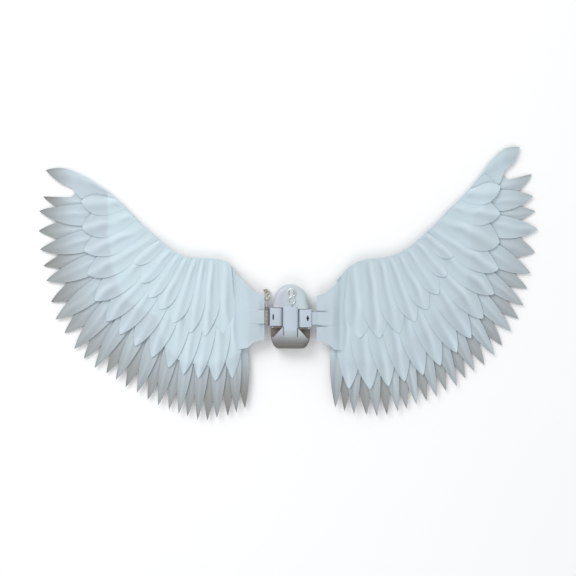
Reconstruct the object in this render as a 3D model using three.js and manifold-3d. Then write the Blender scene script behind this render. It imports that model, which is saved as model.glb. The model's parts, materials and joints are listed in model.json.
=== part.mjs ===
// Feathered costume wings on a motor housing, lying on their back with the front side up.
// Millimetres. +Z points up, +Y towards the wing tips' side, and the origin is the middle of the
// housing's back face.
import * as THREE from 'three';
import { mergeVertices } from 'three/addons/utils/BufferGeometryUtils.js';
import Module from 'manifold-3d';

const manifold = await Module();
manifold.setup();

// Housing
const housingLength = 135.5;
const domeRadius = 35;
const bodyWidth = 83;
const bodyCornerWidth = 17;
const bodyCornerLength = 32;
const bodyShoulderLength = 34;
const backShellHeight = 21;
const backShellRounding = 4;
const coverHeight = 15;
const coverCrownInset = 13;
const coverCrownDrop = 10;
const seamGap = 0.3;

// Raised band down the middle of the cover
const bandWidth = 27.4;
const bandRise = 5;
const bandLength = 66;
const bandTopDrop = 44.95;
const bandLedgeLength = 6.4;
const bandFootLength = 14;

// Flared lower half of the cover, with a pocket at each side of it
const flareTopWidth = 36;
const flareWideWidth = 70;
const flareLength = 19;
const pocketFloorHeight = 4;

// Hinged blocks that take the wings
const blockLength = 27;
const blockHeight = 37.5;
const blockThickness = 16;
const blockEdgeRadius = 1.5;
const blockBandGap = 3.3;
const blockFloorGap = 1;
const blockEndGap = 1;
const blockUp = { left: -1, right: -4 };
const earThickness = 3;
const earTopDrop = 2;
const pinRadius = 2.5;
const pinSeatDepth = 2.5;
const pinClearance = 0.3;
const latchSlotWidth = 3;
const latchSlotHeight = 11;
const latchSlotDepth = 2.5;
const latchSlotInset = 8;
const latchCrossHeight = 4;
const latchCrossReach = 1.4;

// Tongues that plug into the blocks and the sleeves
const tongueWidth = 26;
const tongueThickness = 5;
const tongueShown = 11;
const tongueSocketDepth = 14;
const tongueSleeveDepth = 30;
const tongueClearance = 0.3;
const collarThickness = 2.7;
const collarHeight = 37.5;
const collarDepth = 14;

// Cloth sleeves at the wing roots
const sleeveEdgeHeight = 94;
const sleeveLength = 56;
const sleeveCloth = 1.5;
const sleevePocketRound = 2;

// Feathers
const wingReach = 488;
const featherThickness = 1.2;
const featherLift = 2.2;
const featherRidge = 0.7;
const featherHalfPitches = 0.88;
const featherRootShare = 0.55;
const featherSpreadAlong = 0.35;
const featherTipHalfPitches = 0.05;
const featherTipRoundness = 0.8;
const taperPower = 4;
const tipFeatherLeadingShare = 0.3;
const tipFeatherBodyShare = 0.45;
const tipFeatherTaper = 0.34;
const layerGap = 0.3;
const sheetGap = 0.6;
const hemAlong = 0.045;
const hemSideGap = 0.1;
const backingThickness = 2;
const backingSteps = 10;
const floorClearance = 0.3;

// Hooks
const eyeRadius = 3.3;
const eyeWire = 0.9;
const hookWire = 1.1;
const frontEyeAhead = 2.2;
const frontEyeOut = 2.3;
const frontLoopWidth = 16;
const frontLoopLength = 17;
const frontHookWidth = 18;
const frontHookLength = 19.5;
const frontGateWidth = 3.6;
const sideLinkWidth = 9;
const sideLinkLength = 23;
const sideLinkWire = 0.9;
const sideRingWidth = 12;
const sideRingLength = 15;
const sideHookWidth = 12;
const sideHookLength = 16;
const sideHookThickness = 4;
const sideHookWall = 3.2;
const sideLeverReach = 3;
const sideLeverWidth = 3;
const sideChainSlope = 34;
const linkPlay = 0.4;

// How finely round shapes are drawn
const rodSides = 12;
const wireSides = 5;
const ringSteps = 10;
const eyeSteps = 12;
const curveSteps = 6;
const domeSteps = 6;
const cornerSteps = 4;
const crownShares = [0, 0.35, 0.7, 1];
const roundingShares = [0, 0.3, 0.7, 1];

// Stations along each wing, from the body out to the tip feather. Roots lie on the leading edge
// and tips on the trailing edge, as shares of wingReach, outward and upward from the middle of
// the block's outer face. bow bends a feather sideways, as a share of its length.
const stations = {
  left: [
    { place: 0.00, rootOut: 0.138, rootUp: 0.172, tipOut: 0.108, tipUp: -0.389, bow: 0.00 },
    { place: 0.08, rootOut: 0.178, rootUp: 0.232, tipOut: 0.190, tipUp: -0.425, bow: 0.00 },
    { place: 0.15, rootOut: 0.229, rootUp: 0.250, tipOut: 0.275, tipUp: -0.438, bow: 0.00 },
    { place: 0.30, rootOut: 0.294, rootUp: 0.254, tipOut: 0.443, tipUp: -0.396, bow: -0.01 },
    { place: 0.44, rootOut: 0.355, rootUp: 0.259, tipOut: 0.613, tipUp: -0.300, bow: -0.02 },
    { place: 0.59, rootOut: 0.415, rootUp: 0.284, tipOut: 0.797, tipUp: -0.180, bow: -0.02 },
    { place: 0.70, rootOut: 0.471, rootUp: 0.328, tipOut: 0.920, tipUp: -0.015, bow: 0.00 },
    { place: 0.78, rootOut: 0.519, rootUp: 0.367, tipOut: 0.970, tipUp: 0.158, bow: 0.03 },
    { place: 0.85, rootOut: 0.571, rootUp: 0.414, tipOut: 0.993, tipUp: 0.292, bow: 0.05 },
    { place: 0.93, rootOut: 0.623, rootUp: 0.470, tipOut: 1.000, tipUp: 0.465, bow: 0.05 },
    { place: 0.965, rootOut: 0.657, rootUp: 0.502, tipOut: 0.982, tipUp: 0.530, bow: 0.04 },
    { place: 1.00, rootOut: 0.690, rootUp: 0.532, tipOut: 0.969, tipUp: 0.635, bow: -0.04 },
  ],
  right: [
    { place: 0.00, rootOut: 0.123, rootUp: 0.178, tipOut: 0.105, tipUp: -0.379, bow: 0.00 },
    { place: 0.07, rootOut: 0.168, rootUp: 0.224, tipOut: 0.185, tipUp: -0.408, bow: 0.00 },
    { place: 0.14, rootOut: 0.223, rootUp: 0.252, tipOut: 0.283, tipUp: -0.415, bow: 0.00 },
    { place: 0.29, rootOut: 0.309, rootUp: 0.262, tipOut: 0.463, tipUp: -0.368, bow: -0.01 },
    { place: 0.43, rootOut: 0.374, rootUp: 0.280, tipOut: 0.626, tipUp: -0.283, bow: -0.02 },
    { place: 0.57, rootOut: 0.435, rootUp: 0.316, tipOut: 0.785, tipUp: -0.156, bow: -0.02 },
    { place: 0.69, rootOut: 0.487, rootUp: 0.362, tipOut: 0.903, tipUp: 0.020, bow: 0.00 },
    { place: 0.79, rootOut: 0.543, rootUp: 0.412, tipOut: 0.954, tipUp: 0.210, bow: 0.02 },
    { place: 0.86, rootOut: 0.590, rootUp: 0.463, tipOut: 0.978, tipUp: 0.396, bow: 0.04 },
    { place: 0.93, rootOut: 0.646, rootUp: 0.515, tipOut: 0.961, tipUp: 0.535, bow: 0.06 },
    { place: 0.965, rootOut: 0.676, rootUp: 0.547, tipOut: 0.957, tipUp: 0.622, bow: 0.05 },
    { place: 1.00, rootOut: 0.705, rootUp: 0.580, tipOut: 0.905, tipUp: 0.741, bow: -0.04 },
  ],
};

// Feather tiers, the lowest first. first and last are places of the end feathers, and a taper is
// the share of a feather's length over which it narrows to its tip, near the body and at the tip.
const tiers = [
  { name: 'outer', layer: 0, first: 0, last: 1, taperBody: 0.34, taperTip: 0.62 },
  { name: 'middle', layer: 1, first: 0.05, last: 0.965, taperBody: 0.42, taperTip: 0.75 },
  { name: 'inner', layer: 2, first: 0.10, last: 0.70, taperBody: 0.42, taperTip: 0.75 },
];
const featherCounts = {
  outer: { left: 28, right: 29 },
  middle: { left: 14, right: 14 },
  inner: { left: 8, right: 8 },
};
const feathersPerFan = 4;

// How far each tier and the sheet that carries them reach towards the trailing edge.
const reaches = {
  outer: {
    left: [{ place: 0, reach: 1 }, { place: 1, reach: 1 }],
    right: [{ place: 0, reach: 1 }, { place: 1, reach: 1 }],
  },
  middle: {
    left: [
      { place: 0.00, reach: 0.76 },
      { place: 0.30, reach: 0.75 },
      { place: 0.50, reach: 0.71 },
      { place: 0.70, reach: 0.67 },
      { place: 0.85, reach: 0.58 },
      { place: 1.00, reach: 0.46 },
    ],
    right: [
      { place: 0.00, reach: 0.83 },
      { place: 0.30, reach: 0.83 },
      { place: 0.50, reach: 0.80 },
      { place: 0.70, reach: 0.73 },
      { place: 0.85, reach: 0.61 },
      { place: 1.00, reach: 0.46 },
    ],
  },
  inner: {
    left: [
      { place: 0.00, reach: 0.42 },
      { place: 0.20, reach: 0.49 },
      { place: 0.35, reach: 0.46 },
      { place: 0.50, reach: 0.39 },
      { place: 0.70, reach: 0.27 },
      { place: 1.00, reach: 0.17 },
    ],
    right: [
      { place: 0.00, reach: 0.46 },
      { place: 0.20, reach: 0.52 },
      { place: 0.35, reach: 0.48 },
      { place: 0.50, reach: 0.41 },
      { place: 0.70, reach: 0.29 },
      { place: 1.00, reach: 0.17 },
    ],
  },
  backing: {
    left: [
      { place: 0.00, reach: 0.57 },
      { place: 0.20, reach: 0.67 },
      { place: 0.35, reach: 0.63 },
      { place: 0.45, reach: 0.49 },
      { place: 0.66, reach: 0.48 },
      { place: 0.82, reach: 0.36 },
      { place: 0.97, reach: 0.13 },
      { place: 1.00, reach: 0.08 },
    ],
    right: [
      { place: 0.00, reach: 0.63 },
      { place: 0.20, reach: 0.67 },
      { place: 0.36, reach: 0.58 },
      { place: 0.50, reach: 0.50 },
      { place: 0.63, reach: 0.52 },
      { place: 0.80, reach: 0.36 },
      { place: 0.87, reach: 0.30 },
      { place: 0.96, reach: 0.48 },
      { place: 1.00, reach: 0.25 },
    ],
  },
};

// Shares of a feather's length where its outline is drawn, from inside the hem to the tip.
const featherShares = {
  outer: [0.02, 0.35, 0.85, 0.95, 1],
  middle: [0.02, 0.4, 0.72, 0.9, 1],
  inner: [0.02, 0.4, 0.72, 0.9, 1],
};

// The sleeve's outline: outward in shares of sleeveLength from its inner edge, and upward in
// shares of half of sleeveEdgeHeight.
const sleeveOutline = [
  { out: 0.0, up: 1.0 },
  { out: 0.33, up: 1.13 },
  { out: 0.62, up: 1.42 },
  { out: 0.9, up: 1.8 },
  { out: 0.86, up: -1.08 },
  { out: 0.64, up: -1.38 },
  { out: 0.5, up: -1.22 },
  { out: 0.24, up: -1.08 },
  { out: 0.0, up: -1.02 },
];

// Worked out from the sizes above
const bandTopUp = housingLength / 2 - bandTopDrop;
const hingeOut = bandWidth / 2 + blockBandGap + blockThickness / 2;
const hingeHeight = backShellHeight + blockFloorGap + blockThickness / 2;
const blockFace = blockLength - blockThickness / 2;
const coverTop = backShellHeight + seamGap + coverHeight;
const sleeveInner = blockFace + tongueShown;
const sleevePocket = tongueThickness + 2 * tongueClearance;
const sleeveThickness = sleevePocket + 2 * sleeveCloth;

const plastic = { color: 0xc3d0da, roughness: 0.38, metalness: 0 };
const darkPlastic = { color: 0x6e6c66, roughness: 0.5, metalness: 0 };
const cloth = { color: 0xd6dde4, roughness: 0.9, metalness: 0 };
const steel = { color: 0x8a867c, roughness: 0.4, metalness: 0.9 };
const whiteMetal = { color: 0xd9dfe2, roughness: 0.3, metalness: 0.4 };

// Adding and cutting closed solids

function toSolid(geometry) {
  const bare = geometry.clone();
  bare.deleteAttribute('normal');
  bare.deleteAttribute('uv');
  const merged = mergeVertices(bare, 1e-4);
  return new manifold.Manifold(new manifold.Mesh({
    numProp: 3,
    vertProperties: new Float32Array(merged.attributes.position.array),
    triVerts: new Uint32Array(merged.index.array),
  }));
}

function toGeometry(solid) {
  const mesh = solid.getMesh();
  const geometry = new THREE.BufferGeometry();
  geometry.setAttribute('position', new THREE.BufferAttribute(new Float32Array(mesh.vertProperties), 3));
  geometry.setIndex(new THREE.BufferAttribute(new Uint32Array(mesh.triVerts), 1));
  return geometry;
}

function join(geometries) {
  return toGeometry(geometries.map(toSolid).reduce((whole, piece) => whole.add(piece)));
}

function cut(geometry, cutters) {
  return toGeometry(cutters.map(toSolid).reduce((whole, piece) => whole.subtract(piece), toSolid(geometry)));
}

// Basic shapes

// A box from its lowest to its highest corner.
function block(low, high) {
  const size = high.map((value, k) => value - low[k]);
  const middle = high.map((value, k) => (value + low[k]) / 2);
  return new THREE.BoxGeometry(...size).translate(...middle);
}

// A rod along Y between two heights on the page.
function rod(radius, out, height, fromUp, toUp) {
  return new THREE.CylinderGeometry(radius, radius, toUp - fromUp, rodSides)
    .translate(out, (fromUp + toUp) / 2, height);
}

// A flat outline, lifted from one height to another.
function plate(points, from, to) {
  const shape = new THREE.Shape(points.map(([out, up]) => new THREE.Vector2(out, up)));
  return new THREE.ExtrudeGeometry(shape, { depth: to - from, bevelEnabled: false }).translate(0, 0, from);
}

// A flat oval wire ring, with its own length and width over the wire.
function ring(width, length, wire) {
  const reach = length / 2 - wire;
  const torus = new THREE.TorusGeometry(reach, wire, wireSides, ringSteps);
  return torus.scale((width / 2 - wire) / reach, 1, 1);
}

// A closed solid through loops of points, with the loops all of one length.
function loft(loops) {
  const count = loops[0].length;
  const positions = loops.flat(2);
  const index = [];
  for (let row = 0; row < loops.length - 1; row += 1) {
    for (let k = 0; k < count; k += 1) {
      const a = row * count + k;
      const b = row * count + (k + 1) % count;
      index.push(a, b, b + count, a, b + count, a + count);
    }
  }
  const lastRow = (loops.length - 1) * count;
  for (let k = 1; k < count - 1; k += 1) {
    index.push(0, k + 1, k, lastRow, lastRow + k, lastRow + k + 1);
  }
  const geometry = new THREE.BufferGeometry();
  geometry.setAttribute('position', new THREE.Float32BufferAttribute(positions, 3));
  geometry.setIndex(index);
  return outward(geometry);
}

function flip(geometry) {
  const index = geometry.index.array;
  for (let k = 0; k < index.length; k += 3) {
    [index[k + 1], index[k + 2]] = [index[k + 2], index[k + 1]];
  }
  return geometry;
}

// Turns the faces round where they point into the solid.
function outward(geometry) {
  const position = geometry.attributes.position;
  const index = geometry.index.array;
  const [a, b, c] = [new THREE.Vector3(), new THREE.Vector3(), new THREE.Vector3()];
  let volume = 0;
  for (let k = 0; k < index.length; k += 3) {
    a.fromBufferAttribute(position, index[k]);
    b.fromBufferAttribute(position, index[k + 1]);
    c.fromBufferAttribute(position, index[k + 2]);
    volume += a.dot(b.cross(c));
  }
  return volume < 0 ? flip(geometry) : geometry;
}

// The same piece for the left side of the housing.
function mirror(geometry) {
  const whole = mergeVertices(geometry);
  return flip(whole.scale(-1, 1, 1));
}

function piece(name, geometry, finish) {
  const mesh = new THREE.Mesh(geometry, new THREE.MeshStandardMaterial(finish));
  mesh.name = name;
  return mesh;
}

// Housing

// The housing's outline, drawn in by inset: a round top, straight sides that widen at the
// shoulders, and a lower end with long round corners.
function housingOutline(inset) {
  const half = [];
  const domeCentre = housingLength / 2 - domeRadius;
  for (let k = 0; k <= domeSteps; k += 1) {
    const angle = Math.PI / 2 * (1 - k / domeSteps);
    const radius = domeRadius - inset;
    half.push([radius * Math.cos(angle), domeCentre + radius * Math.sin(angle)]);
  }
  const side = bodyWidth / 2 - inset;
  half.push([side, domeCentre - bodyShoulderLength]);
  const cornerOut = bodyWidth / 2 - bodyCornerWidth;
  const cornerUp = -housingLength / 2 + bodyCornerLength;
  for (let k = 0; k <= cornerSteps; k += 1) {
    const angle = -Math.PI / 2 * k / cornerSteps;
    const out = cornerOut + (bodyCornerWidth - inset) * Math.cos(angle);
    half.push([out, cornerUp + (bodyCornerLength - inset) * Math.sin(angle)]);
  }
  const other = half.slice(1).reverse().map(([out, up]) => [-out, up]);
  return [...half, ...other];
}

function lift(outline, height) {
  return outline.map(([out, up]) => [out, up, height]);
}

function makeBackShell() {
  const loops = roundingShares.map((share) => {
    const turn = share * Math.PI / 2;
    const inset = backShellRounding * (1 - Math.sin(turn));
    return lift(housingOutline(inset), backShellRounding * (1 - Math.cos(turn)));
  });
  return loft([...loops, lift(housingOutline(0), backShellHeight)]);
}

// The cover is open beside the band for the two blocks, and dips beside the flare.
function makeFrontCover() {
  const seam = backShellHeight + seamGap;
  const loops = crownShares.map((share) => {
    const turn = share * Math.PI / 2;
    const inset = coverCrownInset * (1 - Math.cos(turn));
    return lift(housingOutline(inset), coverTop - coverCrownDrop * (1 - Math.sin(turn)));
  });
  const body = loft([lift(housingOutline(0), seam), ...loops]);
  const cutters = [];
  for (const side of ['left', 'right']) {
    const way = side === 'left' ? -1 : 1;
    const up = blockUp[side];
    const bayIn = bandWidth / 2 + blockBandGap / 2;
    const bayLow = up - blockHeight / 2 - blockEndGap;
    const bayHigh = up + blockHeight / 2 + blockEndGap;
    const beyond = bodyWidth;
    const between = [way * bayIn, way * beyond].sort((a, b) => a - b);
    cutters.push(block([between[0], bayLow, 0], [between[1], bayHigh, 2 * coverTop]));
    const earLow = bayLow - earThickness;
    cutters.push(block([between[0], bayLow - earThickness, coverTop - earTopDrop],
      [between[1], bayHigh, 2 * coverTop]));
    const pocket = [
      [way * flareTopWidth / 2, earLow],
      [way * beyond, earLow],
      [way * beyond, earLow - flareLength],
      [way * flareWideWidth / 2, earLow - flareLength],
    ];
    const pocketPoints = way < 0 ? pocket.reverse() : pocket;
    cutters.push(plate(pocketPoints, seam + pocketFloorHeight, 2 * coverTop));
    cutters.push(rod(pinRadius + pinClearance, way * hingeOut, hingeHeight,
      bayLow - pinSeatDepth, bayHigh + pinSeatDepth));
  }
  return cut(body, cutters);
}

// The band's side view, from its bright sloped ledge down to its foot, with a half eye on the
// ledge for the hook.
function makeFrontBand() {
  const low = coverTop + seamGap;
  const high = coverTop + bandRise;
  const foot = bandTopUp - bandLength;
  const profile = [
    [bandTopUp, low],
    [bandTopUp - bandLedgeLength, high],
    [foot + bandFootLength, high],
    [foot, low],
  ];
  const band = plate(profile, -bandWidth / 2, bandWidth / 2).rotateX(Math.PI / 2).rotateZ(Math.PI / 2);
  const eye = new THREE.TorusGeometry(eyeRadius, eyeWire, wireSides, eyeSteps)
    .rotateY(Math.PI / 2)
    .translate(frontEyeOut, bandTopUp + frontEyeAhead, low + hookWire + linkPlay);
  const under = block([-bandWidth, 0, 0], [bandWidth, bandTopUp + 3 * eyeRadius, low]);
  return join([band, cut(eye, [under])]);
}

// Block: round at the hinge end, with a bore for the pin and a socket for the tongue
function makeBlock(side) {
  const half = blockThickness / 2;
  const shape = new THREE.Shape();
  shape.moveTo(0, -half);
  shape.lineTo(blockFace - blockEdgeRadius, -half);
  shape.absarc(blockFace - blockEdgeRadius, -half + blockEdgeRadius, blockEdgeRadius, -Math.PI / 2, 0);
  shape.absarc(blockFace - blockEdgeRadius, half - blockEdgeRadius, blockEdgeRadius, 0, Math.PI / 2);
  shape.lineTo(0, half);
  shape.absarc(0, 0, half, Math.PI / 2, 3 * Math.PI / 2);
  const settings = { depth: blockHeight, bevelEnabled: false, curveSegments: curveSteps };
  const body = new THREE.ExtrudeGeometry(shape, settings)
    .rotateX(Math.PI / 2)
    .translate(0, blockHeight / 2, 0);
  const halfSocket = tongueWidth / 2 + tongueClearance;
  const slotOut = blockFace - latchSlotInset;
  const slotLow = half - latchSlotDepth;
  const cutters = [
    rod(pinRadius + pinClearance, 0, 0, -blockHeight, blockHeight),
    block([blockFace - tongueSocketDepth, -halfSocket, -sleevePocket / 2],
      [2 * blockFace, halfSocket, sleevePocket / 2]),
    block([slotOut - latchSlotWidth / 2, -latchSlotHeight / 2, slotLow],
      [slotOut + latchSlotWidth / 2, latchSlotHeight / 2, 2 * half]),
  ];
  if (side === 'right') {
    const reach = latchSlotWidth / 2 + latchCrossReach;
    cutters.push(block([slotOut - reach, -latchCrossHeight / 2, slotLow],
      [slotOut + reach, latchCrossHeight / 2, 2 * half]));
  }
  return cut(body, cutters);
}

// Tongue: a flat bar from the block's socket into the sleeve's pocket
function makeTongue() {
  const inner = blockFace - tongueSocketDepth + tongueClearance;
  const outer = sleeveInner + tongueSleeveDepth;
  return block([inner, -tongueWidth / 2, -tongueThickness / 2], [outer, tongueWidth / 2, tongueThickness / 2]);
}

// Collar: a plate round the tongue against the block, with the side hook's eye on it
function makeCollar() {
  const near = blockFace + tongueClearance;
  const hole = tongueClearance;
  const body = block([near, -collarHeight / 2, -collarDepth / 2],
    [near + collarThickness, collarHeight / 2, collarDepth / 2]);
  const slot = block([0, -tongueWidth / 2 - hole, -tongueThickness / 2 - hole],
    [2 * near, tongueWidth / 2 + hole, tongueThickness / 2 + hole]);
  const eye = new THREE.TorusGeometry(eyeRadius, eyeWire, wireSides, eyeSteps);
  return join([cut(body, [slot]), hang(eye)]);
}

// Hooks

// Moves a piece of the side chain, drawn with its eye at the origin and the chain along +Y, to
// the collar, where the chain slopes down to the floor.
function hang(geometry) {
  const out = blockFace + tongueClearance + collarThickness + eyeRadius - eyeWire / 2;
  const up = tongueWidth / 2 + tongueClearance + eyeRadius + eyeWire;
  return geometry.rotateX(THREE.MathUtils.degToRad(-sideChainSlope)).translate(out, up, 0);
}

// How far a wire of some thickness sits from the middle of an eye that it pulls on.
function pulledOut(wire) {
  return eyeRadius - eyeWire - wire - linkPlay;
}

// The front hook: a loop through the ledge's eye, and a larger one with a gate, in one piece.
function makeFrontHook() {
  const near = pulledOut(hookWire) - hookWire;
  const loop = ring(frontLoopWidth, frontLoopLength, hookWire).translate(0, near + frontLoopLength / 2, 0);
  const from = near + frontLoopLength - hookWire;
  const hook = ring(frontHookWidth, frontHookLength, hookWire).translate(0, from + frontHookLength / 2, 0);
  const gate = block([-frontGateWidth / 2, from + hookWire, -hookWire],
    [frontGateWidth / 2, from + frontHookLength - hookWire, hookWire]);
  const height = coverTop + seamGap + hookWire + linkPlay;
  return join([loop, hook, gate]).translate(frontEyeOut, bandTopUp + frontEyeAhead, height);
}

function makeSideLink() {
  const near = pulledOut(sideLinkWire) - sideLinkWire;
  const link = ring(sideLinkWidth, sideLinkLength, sideLinkWire).rotateY(Math.PI / 2);
  return hang(link.translate(0, near + sideLinkLength / 2, 0));
}

// The side hook: a ring through the link, and beyond it an oval hook body with a small lever at
// its far end, in one piece.
function makeSideHook() {
  const linkEnd = pulledOut(sideLinkWire) - sideLinkWire + sideLinkLength;
  const near = linkEnd - 2 * sideLinkWire - linkPlay - 2 * hookWire;
  const loop = ring(sideRingWidth, sideRingLength, hookWire).translate(0, near + sideRingLength / 2, 0);
  const from = near + sideRingLength - hookWire;
  const half = sideHookThickness / 2;
  const shape = new THREE.Shape();
  const hole = new THREE.Path();
  const middle = from + sideHookLength / 2;
  const [wide, long] = [sideHookWidth / 2, sideHookLength / 2];
  shape.absellipse(0, middle, wide, long, 0, 2 * Math.PI);
  hole.absellipse(0, middle, wide - sideHookWall, long - sideHookWall, 0, 2 * Math.PI);
  shape.holes.push(hole);
  const settings = { depth: 2 * half, bevelEnabled: false, curveSegments: curveSteps };
  const body = new THREE.ExtrudeGeometry(shape, settings).translate(0, 0, -half);
  const end = from + sideHookLength;
  const lever = block([0, end - sideLeverWidth, -half / 2], [wide + sideLeverReach, end, half / 2]);
  return hang(join([loop, body, lever]));
}

// Wings

// The value of a column at a place, on a smooth curve through the rows of a table.
function readRows(rows, column, place) {
  const last = rows.length - 1;
  const slope = (k) => {
    const before = rows[Math.max(0, k - 1)];
    const after = rows[Math.min(last, k + 1)];
    return (after[column] - before[column]) / (after.place - before.place);
  };
  if (place <= rows[0].place) {
    return rows[0][column] + slope(0) * (place - rows[0].place);
  }
  if (place >= rows[last].place) {
    return rows[last][column] + slope(last) * (place - rows[last].place);
  }
  const k = rows.findIndex((row) => row.place > place) - 1;
  const span = rows[k + 1].place - rows[k].place;
  const t = (place - rows[k].place) / span;
  const start = rows[k][column] * (2 * t ** 3 - 3 * t ** 2 + 1);
  const end = rows[k + 1][column] * (3 * t ** 2 - 2 * t ** 3);
  const startSlope = slope(k) * span * (t ** 3 - 2 * t ** 2 + t);
  const endSlope = slope(k + 1) * span * (t ** 3 - t ** 2);
  return start + end + startSlope + endSlope;
}

// A point of the wing's plan: place runs along the wing, along from the leading edge to the
// trailing edge.
function wingPoint(side, place, along) {
  const [rootOut, rootUp, tipOut, tipUp, bow] = ['rootOut', 'rootUp', 'tipOut', 'tipUp', 'bow']
    .map((column) => readRows(stations[side], column, place));
  const aside = 4 * along * (1 - along) * bow;
  const out = rootOut + (tipOut - rootOut) * along + (tipUp - rootUp) * aside;
  const up = rootUp + (tipUp - rootUp) * along - (tipOut - rootOut) * aside;
  return [blockFace + out * wingReach, up * wingReach];
}

const mix = (from, to, share) => from + (to - from) * share;

function reachAt(side, name, place) {
  return readRows(reaches[name][side], 'reach', place);
}

// Feathers are narrow at the root and reach their full width a little way down.
function spread(along) {
  return mix(featherRootShare, 1, Math.min(1, along / featherSpreadAlong));
}

// The height that one tier of overlapping feathers takes up.
function tierHeight(along) {
  return 2 * featherLift * featherHalfPitches * spread(along) + featherThickness;
}

// Heights are taken from the middle of the tongue. The sleeve lies on the middle tier.
function layerMiddle(layer, along) {
  const full = tierHeight(1) + layerGap;
  const step = tierHeight(along) + layerGap;
  const lowest = -sleeveThickness / 2 - layerGap - 1.5 * full - backingThickness - sheetGap;
  const backing = layer > 0 ? backingThickness + sheetGap : 0;
  return lowest + layer * step + backing;
}

function pitchOf(side, tier) {
  return (tier.last - tier.first) / (featherCounts[tier.name][side] - 1);
}

// Half of a feather's width, in pitches between feathers.
function featherHalf(share, along, taper) {
  const toTip = Math.min(1, (1 - share) / taper);
  const round = Math.sin(Math.PI / 2 * toTip) ** featherTipRoundness;
  return Math.max(featherTipHalfPitches, featherHalfPitches * spread(along) * round);
}

// Outer feathers lie by turns over and under their neighbours. The others lie like roof tiles.
function featherLevel(tier, fromTip, along, offset) {
  if (tier.layer > 0) {
    return -featherLift * offset;
  }
  const room = (tierHeight(along) - featherThickness - featherRidge) / 2;
  return (fromTip % 2 === 0 ? room : -room) - featherRidge / 2;
}

function makeFeather(side, tier, index) {
  const fromTip = featherCounts[tier.name][side] - 1 - index;
  const pitch = pitchOf(side, tier);
  const middle = tier.first + index * pitch;
  const isTipFeather = tier.layer === 0 && fromTip === 0;
  const leadingShare = fromTip === 0 ? tipFeatherLeadingShare : 1;
  const bodyShare = isTipFeather ? tipFeatherBodyShare : 1;
  const bent = mix(tier.taperBody, tier.taperTip, Math.max(0, middle) ** taperPower);
  const taper = isTipFeather ? tipFeatherTaper : bent;
  const loops = featherShares[tier.name].map((share) => {
    const half = featherHalf(share, share * reachAt(side, tier.name, middle), taper);
    const offsets = [-half * bodyShare, 0, half * leadingShare];
    const across = offsets.map((offset) => {
      const place = middle + offset * pitch;
      const along = share * reachAt(side, tier.name, place);
      const height = layerMiddle(tier.layer, along) + featherLevel(tier, fromTip, along, offset);
      return [...wingPoint(side, place, along), height];
    });
    const ridge = featherRidge * half / featherHalfPitches;
    const above = [0, ridge, 0].map((rise) => rise + featherThickness / 2);
    const top = across.map(([out, up, height], k) => [out, up, height + above[k]]);
    const below = featherThickness / 2;
    const bottom = [across[2], across[0]].map(([out, up, height]) => [out, up, height - below]);
    return [...top, ...bottom];
  });
  return loft(loops);
}

// The sewn edge that holds a few feathers together at the leading edge.
function makeHem(side, tier, from, to) {
  const pitch = pitchOf(side, tier);
  const half = 1 - featherHalfPitches * spread(hemAlong) - hemSideGap;
  const isTip = to === featherCounts[tier.name][side] - 1;
  const end = isTip ? to + half * tipFeatherLeadingShare : to + half;
  const steps = [from - half];
  for (let k = from; k <= to; k += 1) {
    steps.push(k);
  }
  steps.push(end);
  const loops = steps.map((step) => {
    const place = tier.first + step * pitch;
    const corner = (along, way) => {
      const height = layerMiddle(tier.layer, along) + way * tierHeight(along) / 2;
      return [...wingPoint(side, place, along), height];
    };
    return [corner(0, 1), corner(hemAlong, 1), corner(hemAlong, -1), corner(0, -1)];
  });
  return loft(loops);
}

// The soft sheet between the outer and the middle tier that carries the feathers.
function makeBacking(side) {
  const loops = [];
  for (let k = 0; k <= backingSteps; k += 1) {
    const place = k / backingSteps;
    const reach = reachAt(side, 'backing', place);
    const shares = [0, Math.min(featherSpreadAlong, reach / 2), reach];
    const point = (along, way) => {
      const low = layerMiddle(0, along) + tierHeight(along) / 2 + layerGap;
      return [...wingPoint(side, place, along), low + (way > 0 ? backingThickness : 0)];
    };
    const top = shares.map((along) => point(along, 1));
    const bottom = shares.map((along) => point(along, -1)).reverse();
    loops.push([...top, ...bottom]);
  }
  return loft(loops);
}

// The cloth sleeve: two plies sewn flat, with a raised pocket for the tongue.
function makeSleeve() {
  const low = -sleeveThickness / 2;
  const outline = sleeveOutline.map(({ out, up }) => [
    sleeveInner + out * sleeveLength,
    up * sleeveEdgeHeight / 2,
  ]);
  const flat = plate(outline.reverse(), low, low + 2 * sleeveCloth);
  const halfPocket = tongueWidth / 2 + tongueClearance;
  const tunnelOut = sleeveInner + tongueSleeveDepth + tongueClearance + sleeveCloth;
  const halfTunnel = halfPocket + sleeveCloth;
  const profile = [
    [halfTunnel + sleevePocketRound, low],
    [halfTunnel, low + sleeveThickness - sleevePocketRound],
    [halfTunnel - sleevePocketRound, -low],
    [-halfTunnel + sleevePocketRound, -low],
    [-halfTunnel, low + sleeveThickness - sleevePocketRound],
    [-halfTunnel - sleevePocketRound, low],
  ];
  const tunnel = plate(profile, sleeveInner, tunnelOut).rotateX(Math.PI / 2).rotateZ(Math.PI / 2);
  const pocket = block([0, -halfPocket, -sleevePocket / 2],
    [tunnelOut - sleeveCloth, halfPocket, sleevePocket / 2]);
  return cut(join([flat, tunnel]), [pocket]);
}

// The steepest droop at which no feather goes below the floor.
function droopOf(geometries) {
  let droop = Math.PI / 4;
  for (const geometry of geometries) {
    const position = geometry.attributes.position;
    for (let k = 0; k < position.count; k += 1) {
      const out = position.getX(k);
      const height = position.getZ(k);
      const radius = Math.hypot(out, height);
      const drop = hingeHeight - floorClearance;
      if (radius > drop) {
        droop = Math.min(droop, Math.atan2(height, out) + Math.asin(drop / radius));
      }
    }
  }
  return droop;
}

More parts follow.
